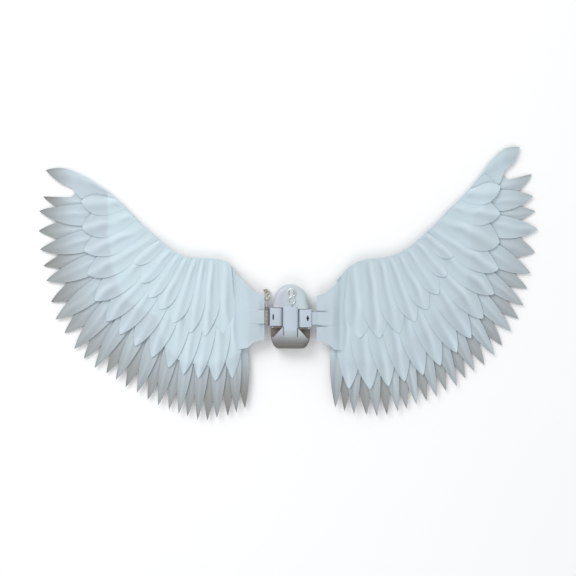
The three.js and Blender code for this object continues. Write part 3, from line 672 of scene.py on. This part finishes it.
def add_feather(bm, side, tier, index, luck):
    """Adds one sheet feather and returns its flat area."""
    pitch = tier["pitch"]
    middle = tier["first"] + index * pitch
    is_tip = tier["name"] == "outer" and index == tier["count"] - 1
    taper = TIP_TAPER if is_tip else mix(*tier["taper"], max(0, middle) ** 4)
    sway = 0 if index == tier["count"] - 1 else luck.uniform(-SWAY, SWAY)
    stretch = luck.uniform(0, STRETCH)
    darkness = luck.uniform(-DARK_LUCK, DARK_LUCK)
    if tier["name"] == "outer":
        hidden = UNDER_DARK[side] * (1 - 0.5 * smooth_step(0.6, 0.9, middle))
        darkness += OVER_DARK if is_over(tier, index) else hidden
        darkness += BODY_DARK * (1 - smooth_step(0, 0.3, middle))
    layers = bm.verts.layers.float
    made = bmesh.ops.create_grid(bm, x_segments=COLUMNS_ACROSS[tier["name"]], y_segments=ROWS, size=1)
    reach_here = reach_at(side, tier["name"], middle)
    for vertex in made["verts"]:
        across = vertex.co.x
        share = 1 - (1 - (vertex.co.y + 1) / 2) ** TIP_GATHER
        half = feather_half(share, share * reach_here, taper, POINTED[tier["name"]])
        offset = across * half * side_shares(tier, index, share)[across > 0]
        place = middle + (offset + sway * share ** 2) * pitch
        along = share * reach_at(side, tier["name"], place) * (1 + stretch * share)
        out, up = wing_point(side, place, along)
        middle_out, middle_up = wing_point(side, middle, along)
        backed = backed_at(side, place, along)
        wander = noise.noise(Vector((middle * 50, 6 * along, 7)))
        level = feather_level(tier, index, share, offset, across, 1 - backed, wander)
        vertex.co = (out, up, layer_middle(tier["layer"], along) + level)
        vertex[layers["across"]] = math.copysign(math.hypot(out - middle_out, up - middle_up), across)
        vertex[layers["along"]] = along * WING_REACH
        # The right wing's far feathers are painted paler too.
        far_white = FAR_WHITE[side] * smooth_step(0.7, 0.95, place)
        vertex[layers["backed"]] = min(1, mix(*BACKED_SHARES[side], backed) + far_white)
        vertex[layers["painted_fold_light"]] = painted_fold_light_at(tier, index, share, offset, wander)
        # Painted shade, strongest towards the outer tips, and none where the second sheet lies behind.
        toward_tip = 0
        if tier["name"] == "outer":
            toward_tip = mix(*TIP_DARK[side], smooth_step(0.65, 0.9, middle)) * smooth_step(0.55, 1, share)
        depth = darkness * mix(0.4, 1, smooth_step(0.5, 0.9, share)) + toward_tip
        vertex[layers["depth"]] = max(0, min(1, depth * (1 - backed)))
    faces = {face for vertex in made["verts"] for face in vertex.link_faces}
    return sum(face.calc_area() for face in faces)


# %% [markdown]
# ### Fans
# A few neighbouring feathers and the rolled edge that they are sewn to make one fan. The rolled edge
# is a second grid, wrapped round into a tube along the leading edge. All sheets of the wings are
# finished in the same way: they get their wall, are taken to the scene and stand for their solid.

# %% Draw a fan of feathers
HEM_ALONG = 0.012
HEM_AROUND = 10
HEM_GAP = 0.1
HEM_RISE = 0.42


def new_sheet(*numbers):
    """An empty bmesh whose vertices carry numbers for the material."""
    bm = bmesh.new()
    for name in numbers:
        bm.verts.layers.float.new(name)
    return bm


def finish_sheet(bm, side, faces, wall, name, material, slot, node):
    """Gives flat faces their wall, and takes the sheet to the scene as a piece for its solid."""
    for face in faces:
        if face.normal.z > 0:
            face.normal_flip()
    bmesh.ops.solidify(bm, geom=faces, thickness=wall)
    bm.transform(TO_SCENE[side])
    if side == "left":
        bmesh.ops.reverse_faces(bm, faces=bm.faces[:])
    return dress(to_object(bm, name, material), f"{side}_wing", slot, node)


def add_hem(bm, side, tier, first, last):
    pitch = tier["pitch"]
    half = 0.5 - HEM_GAP / 2
    start = tier["first"] + (first - half) * pitch
    end_half = half * TIP_LEADING_SHARE if last == tier["count"] - 1 else half
    end = tier["first"] + (last + end_half) * pitch
    layers = bm.verts.layers.float
    made = bmesh.ops.create_grid(bm, x_segments=4 * (last - first + 1), y_segments=HEM_AROUND, size=1)
    for vertex in made["verts"]:
        place = mix(start, end, (vertex.co.x + 1) / 2)
        angle = math.pi * vertex.co.y
        along = HEM_ALONG / 2 * (1 - math.cos(angle))
        height = layer_middle(tier["layer"], along) + tier_height(along) * HEM_RISE * math.sin(angle)
        vertex.co = (*wing_point(side, place, along), height)
        vertex[layers["backed"]] = BACKED_SHARES[side][1]
    bmesh.ops.remove_doubles(bm, verts=made["verts"], dist=0.01 * MM)
    edges = [edge for edge in bm.edges if edge.is_boundary]
    bmesh.ops.holes_fill(bm, edges=edges, sides=2 * HEM_AROUND)


def make_fan(side, tier, number, first, last, luck):
    """One fan of feathers on its hem, as a piece that stands for its solid."""
    bm = new_sheet("across", "along", "backed", "depth", "painted_fold_light")
    add_hem(bm, side, tier, first, last)
    hem_faces = set(bm.faces)
    area = 0
    for index in range(first, last + 1):
        area += add_feather(bm, side, tier, index, luck)
    sheets = [face for face in bm.faces if face not in hem_faces]
    bmesh.ops.recalc_face_normals(bm, faces=list(hem_faces))
    fan = finish_sheet(bm, side, sheets, SHEET, f"{tier['name']}_fan_{side}_{number}", FEATHER,
                       "white_sheet", f"{tier['name']}_feathers_{side}_{number}")
    return fan, area


# %% [markdown]
# For every fan the script prints the size of the piece that its feathers were cut from: as wide
# as the feathers side by side, and as long as the longest.

# %% Make all the fans
CUT_WASTE = 1.25


def fan_ranges(count):
    fans = count // FEATHERS_PER_FAN
    for fan in range(fans):
        first = fan * FEATHERS_PER_FAN
        yield fan + 1, first, count - 1 if fan == fans - 1 else first + FEATHERS_PER_FAN - 1


def cut_size(side, tier, first, last, area):
    """Width and length of the sheet that a fan's feathers are cut from."""
    middle = tier["first"] + (first + last) / 2 * tier["pitch"]
    reach = reach_at(side, tier["name"], middle)
    root, tip = Vector(wing_point(side, middle, 0)), Vector(wing_point(side, middle, reach))
    length = (tip - root).length
    return CUT_WASTE * area / length, length


for side in ("left", "right"):
    luck = random.Random(SEED)
    for tier in TIERS:
        counted = {**tier, "count": tier[side], "pitch": (tier["last"] - tier["first"]) / (tier[side] - 1)}
        for number, first, last in fan_ranges(counted["count"]):
            fan, area = make_fan(side, counted, number, first, last, luck)
            flat = cut_size(side, counted, first, last, area)
            print(fan.name, "cut from, mm:", [round(v / MM) for v in flat])

# %% [markdown]
# ## The sheet behind the feathers
# A soft sheet between the lowest and the middle tier carries the feathers. It is a grid too, placed
# by the same plan and ended by its edge curve.

# %% Make the backing sheets
BACKING_SHEET = 1.2 * MM


def make_backing(side):
    bm = new_sheet("across", "along", "backed", "depth")
    layers = bm.verts.layers.float
    made = bmesh.ops.create_grid(bm, x_segments=60, y_segments=20, size=1)
    for vertex in made["verts"]:
        place = (vertex.co.x + 1) / 2
        along = (vertex.co.y + 1) / 2 * reach_at(side, "sheet", place)
        height = layer_middle(0, along) + tier_height(along) / 2 + LAYER_GAP + SHEET_GAP / 2
        out, up = wing_point(side, place, along)
        vertex.co = (out, up, height)
        vertex[layers["across"]], vertex[layers["along"]] = out, up
        vertex[layers["backed"]] = BACKED_SHARES[side][1]
    area = sum(face.calc_area() for face in bm.faces)
    sheet = finish_sheet(bm, side, bm.faces[:], BACKING_SHEET, f"backing_sheet_{side}", FEATHER,
                         "white_sheet", f"backing_{side}")


for side in ("left", "right"):
    make_backing(side)

# %% [markdown]
# ## Cloth sleeves
# A sleeve is two plies of cloth round the tongue. The lower ply is flat. The upper ply lies over the
# tongue as a raised pocket between two sewn lines, which fades out towards the feathers. There both
# plies drop a little and tuck in under the first feathers.

# %% Sleeve sizes
SLEEVE_INNER = 30 * MM
SLEEVE_LENGTH = 56 * MM
SLEEVE_HALF = 47 * MM
SLEEVE_CLOTH = 1.2 * MM
POCKET_HALF = 13.3 * MM
POCKET_HEIGHT = 5.6 * MM
POCKET_CREASE = 2.0 * MM
POCKET_LENGTH = 31 * MM
POCKET_FADE = 20 * MM
SEAM_PLACES, SEAM_WIDTH = (1.2 * MM, 2.8 * MM), 0.9 * MM
SEAM_SPREAD = 0.06
SEAM_DEPTH = {"left": 1.1 * MM, "right": 1.9 * MM}
SEAM_LENGTH = {"left": 20 * MM, "right": 30 * MM}
# How much painted shade lies in the sewn lines on each side.
SEAM_DARK = {"left": 0.3, "right": 1.0}
END_DROP = 5.0 * MM
CORNER_REACH = 5.0 * MM
SLEEVE_TOP = [(0.0, 1.0), (0.33, 1.13), (0.62, 1.42), (0.9, 1.8), (1.0, 1.97)]
SLEEVE_BOTTOM = [(0.0, -1.02), (0.24, -1.08), (0.5, -1.22), (0.64, -1.38), (0.9, -1.44), (1.0, -1.45)]
PLY_END = {"lower": 0.8, "upper": 1.0}


def seam_at(side, out, up):
    """From 0 to 1 on the two sewn lines beside the pocket."""
    place = SEAM_PLACES[up < 0] + (SEAM_SPREAD * out if up < 0 else 0)
    fade = 1 - smooth_step(0.4, 1, out / SEAM_LENGTH[side])
    return fade * math.exp(-((abs(up) - POCKET_HALF - place) / SEAM_WIDTH) ** 2)


def ply_height(side, ply, share, up, low, high):
    """Height of the middle of a ply at a spot of the sleeve."""
    flat = -SLEEVE_THICKNESS / 2 + SLEEVE_CLOTH / 2
    drop = END_DROP * smooth_step(0.55, 1, share)
    if ply == "lower":
        return flat - drop
    out = share * SLEEVE_LENGTH
    beside = abs(up) - POCKET_HALF
    edge = (high if up > 0 else -low) - POCKET_HALF
    beyond = 0.85 * (1 - smooth_step(0, edge, beside)) * smooth_step(0, 14 * MM, out)
    rise = mix(1, beyond, smooth_step(0, POCKET_CREASE, beside))
    rise *= POCKET_HEIGHT * (1 - smooth_step(POCKET_LENGTH, POCKET_LENGTH + POCKET_FADE, out))
    seam = SEAM_DEPTH[side] * seam_at(side, out, up)
    crumple = 0.5 * MM * noise.noise(Vector((out * 30, up * 45, 3)))
    over = (SLEEVE_CLOTH + 0.05 * MM) * (1 - smooth_step(0.76, 0.86, share))
    return flat - drop + over + max(0, rise - min(seam, 0.8 * rise) + crumple * min(1, rise / MM))


def make_sleeve(side):
    bm = new_sheet("across", "along", "seam")
    layers = bm.verts.layers.float
    area = 0
    for ply, end in PLY_END.items():
        made = bmesh.ops.create_grid(bm, x_segments=30, y_segments=130, size=1)
        for vertex in made["verts"]:
            share = (vertex.co.x + 1) / 2 * end
            low = smooth_rows(SLEEVE_BOTTOM, 1, share) * SLEEVE_HALF
            high = smooth_rows(SLEEVE_TOP, 1, share) * SLEEVE_HALF
            up = mix(low, high, (vertex.co.y + 1) / 2)
            out = share * SLEEVE_LENGTH
            corner = CORNER_REACH * share ** 4 * smooth_step(0.55, 1, (vertex.co.y + 1) / 2)
            vertex.co = (SLEEVE_INNER + out + corner, up, ply_height(side, ply, share, up, low, high))
            vertex[layers["across"]], vertex[layers["along"]] = out, up
            # Painted shade along the sewn lines.
            vertex[layers["seam"]] = SEAM_DARK[side] * seam_at(side, out, up)
        faces = {face for vertex in made["verts"] for face in vertex.link_faces}
        area += sum(face.calc_area() for face in faces)
    sleeve = finish_sheet(bm, side, bm.faces[:], SLEEVE_CLOTH, f"cloth_sleeve_{side}", SLEEVE,
                          "sleeve_cloth", f"sleeve_{side}")
    print(sleeve.name, "both plies, square mm:", round(area / MM ** 2))


for side in ("left", "right"):
    make_sleeve(side)

# %% [markdown]
# ## Housing
# The housing is two shells of one outline: a round top, sides that widen at the shoulders, and a
# lower end with round corners. A circle of points is placed on that outline and pulled up level by
# level, drawn in a little at each level where the edge is round.

# %% Outline of the housing
back_low, back_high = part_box("back_shell")
cover_low, cover_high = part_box("front_cover")
HOUSING_LENGTH = back_high.y - back_low.y
HOUSING_WIDTH = back_high.x - back_low.x
DOME_RADIUS = 35 * MM
CORNER_WIDTH = 17 * MM
CORNER_LENGTH = 32 * MM
SHOULDER_LENGTH = 34 * MM
OUTLINE_POINTS = 96
DOME_END, SHOULDER_END, SIDE_END, CORNER_END = 0.36, 0.5, 0.6, 0.9
CHAMFER = 0.6 * MM


def outline_point(share, inset):
    """A point of the housing's outline, drawn in by inset. share runs once round from the top."""
    side = 1 if share < 0.5 else -1
    half = min(share, 1 - share) * 2
    dome_middle = HOUSING_LENGTH / 2 - DOME_RADIUS
    reach = HOUSING_WIDTH / 2 - inset
    shoulder = dome_middle - SHOULDER_LENGTH
    corner_up = -HOUSING_LENGTH / 2 + CORNER_LENGTH
    corner_out = HOUSING_WIDTH / 2 - CORNER_WIDTH
    if half < DOME_END:
        angle = math.pi / 2 * (1 - half / DOME_END)
        radius = DOME_RADIUS - inset
        return Vector((side * radius * math.cos(angle), dome_middle + radius * math.sin(angle)))
    if half < SHOULDER_END:
        t = (half - DOME_END) / (SHOULDER_END - DOME_END)
        wide = mix(DOME_RADIUS - inset, reach, smooth_step(0, 1, t))
        return Vector((side * wide, mix(dome_middle, shoulder, t)))
    if half < SIDE_END:
        t = (half - SHOULDER_END) / (SIDE_END - SHOULDER_END)
        return Vector((side * reach, mix(shoulder, corner_up, t)))
    if half < CORNER_END:
        angle = math.pi / 2 * (half - SIDE_END) / (CORNER_END - SIDE_END)
        out = corner_out + (CORNER_WIDTH - inset) * math.cos(angle)
        return Vector((side * out, corner_up - (CORNER_LENGTH - inset) * math.sin(angle)))
    t = (half - CORNER_END) / (1 - CORNER_END)
    return Vector((side * mix(corner_out, 0, t), -HOUSING_LENGTH / 2 + inset))


def stacked_body(levels):
    """A closed body through outlines. levels are pairs of inset and height, from the back up."""
    bm = bmesh.new()
    tag = bm.verts.layers.int.new("step")
    bmesh.ops.create_circle(bm, cap_ends=True, segments=OUTLINE_POINTS, radius=1)
    bm.verts.ensure_lookup_table()
    for step, vertex in enumerate(bm.verts):
        vertex[tag] = step

    def settle(vertices, inset, height):
        for vertex in vertices:
            vertex.co = (*outline_point(vertex[tag] / OUTLINE_POINTS, inset), height)

    settle(bm.verts, *levels[0])
    made = bmesh.ops.extrude_face_region(bm, geom=bm.faces[:])["geom"]
    top = next(item for item in made if isinstance(item, bmesh.types.BMFace))
    settle(top.verts, *levels[1])
    for inset, height in levels[2:]:
        top = bmesh.ops.extrude_discrete_faces(bm, faces=[top])["faces"][0]
        settle(top.verts, inset, height)
    bmesh.ops.recalc_face_normals(bm, faces=bm.faces[:])
    return bm


# %% Back shell
BACK_ROUNDING = 4 * MM
ROUND_STEPS = 6


def quarter(steps):
    """Sine and cosine round a quarter turn."""
    return [(math.sin(math.pi / 2 * k / steps), math.cos(math.pi / 2 * k / steps)) for k in range(steps + 1)]


levels = [(BACK_ROUNDING * (1 - sine), BACK_ROUNDING * (1 - cosine)) for sine, cosine in quarter(ROUND_STEPS)]
levels += [(0, back_high.z - CHAMFER), (CHAMFER, back_high.z)]
back = to_object(stacked_body(levels), "rear_shell", HOUSING)
dress(back, "housing", "housing_plastic", "back_shell")
print("rear shell, faces:", len(back.data.polygons))

# %% [markdown]
# ### Cover
# The cover's crown is an elliptic rounding. The bays for the blocks and the sloped pockets below them
# are cut out with simple tools, and what a tool cuts takes on its colour: painted shade in the
# pockets, ears and grooves, and a paler painted shade in the bays.

# %% Cutting tool
def box_tool(low, high, material):
    """A box from its lowest to its highest corner. What it cuts gets its material."""
    bm = bmesh.new()
    size = Vector(high) - Vector(low)
    middle = (Vector(high) + Vector(low)) / 2
    bmesh.ops.create_cube(bm, size=1, matrix=Matrix.Translation(middle) @ Matrix.Diagonal((*size, 1)))
    return to_object(bm, "tool", material)


def carve(piece, tools):
    """Cuts the tools out of a piece and takes them away."""
    for tool in tools:
        cut = piece.modifiers.new("cut", "BOOLEAN")
        cut.object = tool
        cut.operation = "DIFFERENCE"
        cut.solver = "EXACT"
        cut.material_mode = "TRANSFER"
    graph = bpy.context.evaluated_depsgraph_get()
    mesh = bpy.data.meshes.new_from_object(piece.evaluated_get(graph))
    piece.modifiers.clear()
    piece.data = mesh
    for tool in tools:
        bpy.data.objects.remove(tool)
    bm = bmesh.new()
    bm.from_mesh(mesh)
    bmesh.ops.remove_doubles(bm, verts=bm.verts[:], dist=0.005 * MM)
    shade(bm)
    bm.to_mesh(mesh)
    bm.free()
    return piece


# %% Front cover
CROWN_INSET = 13 * MM
CROWN_DROP = 10 * MM
CROWN_STEPS = 9
BAND_HALF = 13.7 * MM
BLOCK_BAND_GAP = 3.3 * MM
BLOCK_HALF = 18.75 * MM
END_GAP = 1 * MM
EAR = 3 * MM
EAR_DROP = 2 * MM
FLARE_TOP, FLARE_WIDE, FLARE_LENGTH = 18 * MM, 35 * MM, 19 * MM
POCKET_FLOOR = 4 * MM
GROOVE, GROOVE_START, GROOVE_LENGTH = 1.5 * MM, 0.2 * MM, 19 * MM
BAY_SHARE = 0.75
BEYOND = 60 * MM


def pocket_tool(way, top):
    """The sloped pocket beside the flare: a box whose inner side leans outward towards its foot."""
    near, far = sorted((way * FLARE_TOP, way * BEYOND))
    tool = box_tool((near, top - FLARE_LENGTH, cover_low.z + POCKET_FLOOR),
                    (far, top, cover_high.z + BEYOND), RECESS)
    for vertex in tool.data.vertices:
        if abs(vertex.co.x) < BEYOND / 2 and vertex.co.y < top - FLARE_LENGTH / 2:
            vertex.co.x = way * FLARE_WIDE
    return tool


levels = [(CHAMFER, cover_low.z), (0, cover_low.z + CHAMFER)]
levels += [(CROWN_INSET * (1 - cosine), cover_high.z - CROWN_DROP * (1 - sine))
           for sine, cosine in quarter(CROWN_STEPS)]
cover = to_object(stacked_body(levels), "cover_shell", HOUSING)
tools = []
for side, way in (("left", -1), ("right", 1)):
    block_up = JOINTS[f"{side}_wing_hinge"]["pos_m"][1]
    low, high = block_up - BLOCK_HALF - END_GAP, block_up + BLOCK_HALF + END_GAP
    near, far = sorted((way * (BAND_HALF + BLOCK_BAND_GAP * BAY_SHARE), way * BEYOND))
    tools.append(box_tool((near, low, 0), (far, high, BEYOND), BAY))
    tools.append(box_tool((near, low - EAR, cover_high.z - EAR_DROP), (far, high, BEYOND), RECESS))
    tools.append(pocket_tool(way, low - EAR))
    # The grooves beside the band take painted shade.
    near, far = sorted((way * (BAND_HALF + GROOVE_START), way * (BAND_HALF + GROOVE)))
    tools.append(box_tool((near, low - GROOVE_LENGTH, cover_high.z - 2 * GROOVE),
                          (far, low, BEYOND), RECESS))
carve(cover, tools)
dress(cover, "housing", "housing_plastic", "front_cover")
print("cover, faces:", len(cover.data.polygons))

# %% [markdown]
# ### Band
# A raised band runs down the middle. Its top end is a sloped ledge that catches the light. It starts
# as a cube whose end faces lean, and a bevel rounds its edges. The eye for the hook is a ring of
# round wire, cut off where it meets the cover.

# %% Round wire
def add_ring(bm, width, length, wire, place=Matrix()):
    """A flat oval ring of round wire: a circle, spun round and stretched to its length."""
    reach = width / 2 - wire
    turned = Matrix.Translation((reach, 0, 0)) @ Matrix.Rotation(math.pi / 2, 4, "X")
    made = bmesh.ops.create_circle(bm, segments=12, radius=wire, matrix=turned)
    edges = list({edge for vertex in made["verts"] for edge in vertex.link_edges})
    old = set(bm.verts) - set(made["verts"])
    bmesh.ops.spin(bm, geom=edges, cent=(0, 0, 0), axis=(0, 0, 1), angle=2 * math.pi, steps=40,
                   use_merge=True)
    ring = [vertex for vertex in bm.verts if vertex not in old]
    for vertex in ring:
        radius = math.hypot(vertex.co.x, vertex.co.y)
        longer = reach + (length - width) / 2
        vertex.co.y = vertex.co.y / radius * (longer + radius - reach)
        vertex.co = place @ vertex.co
    bmesh.ops.recalc_face_normals(bm, faces=list({face for vertex in ring for face in vertex.link_faces}))


# %% Band and its eye
BAND_RISE = 5 * MM
BAND_TOP = HOUSING_LENGTH / 2 - 44.95 * MM
BAND_LENGTH = 66 * MM
BAND_LOW = cover_high.z + 0.3 * MM
LEDGE, FOOT = 6.4 * MM, 14 * MM
EYE_RADIUS, EYE_WIRE = 3.3 * MM, 0.9 * MM
EYE_PLACE = Vector((2.3 * MM, BAND_TOP + 2.2 * MM, BAND_LOW + 1.5 * MM))


def make_band():
    bm = bmesh.new()
    high = cover_high.z + BAND_RISE
    bmesh.ops.create_cube(bm, size=1)
    for vertex in bm.verts:
        is_top, is_high = vertex.co.z > 0, vertex.co.y > 0
        end = BAND_TOP if is_high else BAND_TOP - BAND_LENGTH
        if is_top:
            end += -LEDGE if is_high else FOOT
        vertex.co = (math.copysign(BAND_HALF, vertex.co.x), end, high if is_top else BAND_LOW)
    edges = [edge for edge in bm.edges if sum(vertex.co.z for vertex in edge.verts) > 2 * BAND_LOW + 1 * MM]
    bmesh.ops.bevel(bm, geom=edges, offset=0.9 * MM, segments=3, profile=0.5, affect="EDGES", material=-1)
    band_faces = set(bm.faces)
    upright = Matrix.Translation(EYE_PLACE) @ Matrix.Rotation(math.pi / 2, 4, "Y")
    across = 2 * (EYE_RADIUS + EYE_WIRE)
    add_ring(bm, across, across, EYE_WIRE, upright)
    eye = [face for face in bm.faces if face not in band_faces]
    parts = eye + list({edge for face in eye for edge in face.edges})
    parts += list({vertex for face in eye for vertex in face.verts})
    bmesh.ops.bisect_plane(bm, geom=parts, plane_co=(0, 0, BAND_LOW), plane_no=(0, 0, 1), clear_inner=True)
    bmesh.ops.holes_fill(bm, edges=[edge for edge in bm.edges if edge.is_boundary], sides=14)
    return to_object(bm, "cover_band", BLOCK)


band = make_band()
dress(band, "housing", "housing_plastic", "front_band")
print("band, mm:", [round(v / MM, 1) for v in band.dimensions])

# %% [markdown]
# ## Hinged blocks
# Each block is round where it turns on its pin. A cylinder's section is stretched at one side into the
# block, its edges are bevelled, and the tongue's socket and the small latch slot are cut in.

# %% Make the blocks
BLOCK_HEIGHT = 16 * MM
SOCKET_DEPTH = 14 * MM
TONGUE_HALF = 13.3 * MM
SOCKET_HALF = 2.8 * MM
SLOT_INSET = 8 * MM
SLOT_DEPTH = 2.5 * MM
SLOT_HALVES = {"left": [(1.5 * MM, 5.5 * MM)], "right": [(1.5 * MM, 5.5 * MM), (2.9 * MM, 2 * MM)]}


def block_section(angle):
    """A point round the block's section, seen along its pin: out and height."""
    radius = BLOCK_HEIGHT / 2
    if math.cos(angle) <= 0:
        return radius * math.cos(angle), radius * math.sin(angle)
    corner = 1.5 * MM
    out, height = math.cos(angle), math.sin(angle)
    scale = min((BLOCK_FACE - corner) / max(out, 1e-6), (radius - corner) / max(abs(height), 1e-6))
    return out * scale + corner * out, height * scale + corner * height


def make_block(side):
    bm = bmesh.new()
    turn = Matrix.Rotation(math.pi / 2, 4, "X")
    bmesh.ops.create_cone(bm, cap_ends=True, segments=48, radius1=1, radius2=1, depth=2 * BLOCK_HALF,
                          matrix=turn)
    for vertex in bm.verts:
        out, height = block_section(math.atan2(vertex.co.z, vertex.co.x))
        vertex.co.x, vertex.co.z = out, height
    rims = [edge for edge in bm.edges if abs(edge.verts[0].co.y - edge.verts[1].co.y) < MM]
    bmesh.ops.bevel(bm, geom=rims, offset=0.8 * MM, segments=2, profile=0.5, affect="EDGES", material=-1)
    block = to_object(bm, f"turning_block_{side}", BLOCK)
    slot_out, slot_low = BLOCK_FACE - SLOT_INSET, BLOCK_HEIGHT / 2 - SLOT_DEPTH
    tools = [box_tool((BLOCK_FACE - SOCKET_DEPTH, -TONGUE_HALF, -SOCKET_HALF),
                      (2 * BLOCK_FACE, TONGUE_HALF, SOCKET_HALF), BLOCK)]
    # The latch slots take painted shade.
    tools += [box_tool((slot_out - wide, -tall, slot_low), (slot_out + wide, tall, BLOCK_HEIGHT), OPENING)
              for wide, tall in SLOT_HALVES[side]]
    carve(block, tools)
    block.data.transform(TO_SCENE[side])
    if side == "left":
        block.data.flip_normals()
    dress(block, f"{side}_wing", "housing_plastic", f"block_{side}")
    print(block.name, "faces:", len(block.data.polygons))


for side in ("left", "right"):
    make_block(side)

# %% [markdown]
# ## Hooks
# All the hooks are round wire. The front hook is a loop and a larger oval with a flat gate. It is
# placed by the box of its solid.

# %% Front hook
HOOK_WIRE = 1.25 * MM
LOOP_SIZE, OVAL_SIZE = (16 * MM, 17 * MM), (18 * MM, 19.5 * MM)
GATE_HALF = 3.6 * MM


def add_plate(bm, low, high, place=Matrix(), round_off=0.4 * MM):
    """A small flat bar with rounded edges, from its lowest to its highest corner."""
    size, middle = Vector(high) - Vector(low), (Vector(high) + Vector(low)) / 2
    old = set(bm.edges)
    matrix = place @ Matrix.Translation(middle) @ Matrix.Diagonal((*size, 1))
    bmesh.ops.create_cube(bm, size=1, matrix=matrix)
    edges = [edge for edge in bm.edges if edge not in old]
    bmesh.ops.bevel(bm, geom=edges, offset=round_off, segments=2, profile=0.5, affect="EDGES", material=-1)


def make_front_hook():
    low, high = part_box("front_hook")
    middle = (low + high) / 2
    bm = bmesh.new()
    loop_up, oval_up = low.y + LOOP_SIZE[1] / 2, high.y - OVAL_SIZE[1] / 2
    for size, up in ((LOOP_SIZE, loop_up), (OVAL_SIZE, oval_up)):
        add_ring(bm, *size, HOOK_WIRE, Matrix.Translation((middle.x, up, middle.z)))
    reach = OVAL_SIZE[1] / 2 - HOOK_WIRE
    add_plate(bm, (middle.x - GATE_HALF, oval_up - reach, middle.z - HOOK_WIRE),
              (middle.x + GATE_HALF, oval_up + reach, middle.z + HOOK_WIRE))
    dress(to_object(bm, "wire_hook", HOOK), "housing", "hook_metal", "front_hook")


make_front_hook()

# %% [markdown]
# The side chain hangs from an eye on the collar and slopes down to the floor. Its pieces are drawn
# along +Y from that eye and then moved there in one step.

# %% Collar, side link and side hook
CHAIN_SLOPE = math.radians(-34)
CHAIN_EYE = Vector((24.85, 17.5, 0)) * MM
COLLAR_BOX = ((19.3 * MM, -18.75 * MM, -7 * MM), (22.0 * MM, 18.75 * MM, 7 * MM))
LINK = {"width": 9 * MM, "length": 23 * MM, "wire": 0.9 * MM, "middle": 11.7 * MM}
SIDE_RING = {"width": 12 * MM, "length": 15 * MM, "middle": 26.3 * MM}
CLAW = {"width": 12 * MM, "length": 16 * MM, "middle": 40.7 * MM, "thickness": 4 * MM}
CHAIN = TO_SCENE["left"] @ Matrix.Translation(CHAIN_EYE) @ Matrix.Rotation(CHAIN_SLOPE, 4, "X")


def make_collar():
    plate = to_object(bmesh.new(), "collar_plate", COLLAR)
    bm = bmesh.new()
    add_plate(bm, *COLLAR_BOX, round_off=0.6 * MM)
    bm.to_mesh(plate.data)
    bm.free()
    opening = box_tool((0, -TONGUE_HALF, -SOCKET_HALF), (2 * BLOCK_FACE, TONGUE_HALF, SOCKET_HALF), COLLAR)
    carve(plate, [opening])
    bm = bmesh.new()
    bm.from_mesh(plate.data)
    bm.transform(TO_SCENE["left"])
    across = 2 * (EYE_RADIUS + EYE_WIRE)
    add_ring(bm, across, across, EYE_WIRE, CHAIN)
    bmesh.ops.recalc_face_normals(bm, faces=bm.faces[:])
    shade(bm)
    bm.to_mesh(plate.data)
    bm.free()
    dress(plate, "left_wing", "dark_plastic", "collar_left")


def make_side_chain():
    bm = bmesh.new()
    upright = CHAIN @ Matrix.Translation((0, LINK["middle"], 0)) @ Matrix.Rotation(math.pi / 2, 4, "Y")
    add_ring(bm, LINK["width"], LINK["length"], LINK["wire"], upright)
    dress(to_object(bm, "chain_link", BRASS), "left_wing", "hook_metal", "side_link")
    bm = bmesh.new()
    add_ring(bm, SIDE_RING["width"], SIDE_RING["length"], HOOK_WIRE,
             CHAIN @ Matrix.Translation((0, SIDE_RING["middle"], 0)))
    add_ring(bm, CLAW["width"], CLAW["length"], CLAW["thickness"] / 2.4,
             CHAIN @ Matrix.Translation((0, CLAW["middle"], 0)))
    tip = CLAW["middle"] + CLAW["length"] / 2
    add_plate(bm, (0, tip - 3 * MM, -1 * MM), (CLAW["width"] / 2 + 3 * MM, tip, 1 * MM), CHAIN)
    dress(to_object(bm, "claw_hook", BRASS), "left_wing", "tongue_metal", "side_hook")


make_collar()
make_side_chain()

# %% [markdown]
# ## Tongues and pins
# The tongues and the pins are plain machined bars whose solids are already right, so they stay and
# only get their finish.

# %% Finish the solids that stay
STAYING = {"tongue_left": TONGUE, "tongue_right": BLOCK, "pin_left": TONGUE, "pin_right": TONGUE}
for name, material in STAYING.items():
    node = frame["nodes"][name]
    node.data.materials.clear()
    node.data.materials.append(material)
print("solids that stay:", len(STAYING))

# %% [markdown]
# ## Floor and light
# A plain pale floor and one large soft light from beyond the wing tips. A weaker light from the front
# and a pale sky fill the shadows, so that only the gaps between the layers stay dark.

# %% Floor
def make_floor():
    material, tree, shader = new_material("floor_white", Roughness=0.9, Specular_IOR_Level=0.1)
    color = place_group(tree, DRIFT, Color=(0.94, 0.94, 0.94, 1), Second=(0.93, 0.93, 0.93, 1), Size=3.0,
                        Amount=0.5)["Color"]
    tree.links.new(color, shader.inputs["Base Color"])
    bm = bmesh.new()
    bmesh.ops.create_grid(bm, x_segments=1, y_segments=1, size=12)
    floor = to_object(bm, "floor", material)


make_floor()


# %% Lights and sky
def area_light(name, place, aim, size, watts):
    data = bpy.data.lights.new(name, "AREA")
    data.shape = "RECTANGLE"
    data.size, data.size_y = size
    data.energy = watts
    light = bpy.data.objects.new(name, data)
    light.location = place
    light.rotation_euler = (Vector(aim) - Vector(place)).to_track_quat("-Z", "Y").to_euler()
    bpy.context.scene.collection.objects.link(light)


area_light("key_light", (-1.7, 2.2, 2.4), (0, 0.05, 0), (2.2, 1.8), 62)
area_light("front_light", (-0.3, -2.6, 3.2), (0, 0.05, 0), (2.0, 2.0), 22)


def make_sky():
    """Lights softly, and shows pale where the camera sees past the floor."""
    world = bpy.data.worlds.new("sky")
    bpy.context.scene.world = world
    world.use_nodes = True
    tree = world.node_tree
    shader = tree.nodes["Background"]
    seen = add(tree, "ShaderNodeLightPath").outputs["Is Camera Ray"]
    color = mixed(tree, seen, (0.71, 0.72, 0.73, 1), (0.93, 0.94, 0.95, 1))
    tree.links.new(color, shader.inputs["Color"])


make_sky()
bpy.context.scene.view_settings.view_transform = "Standard"
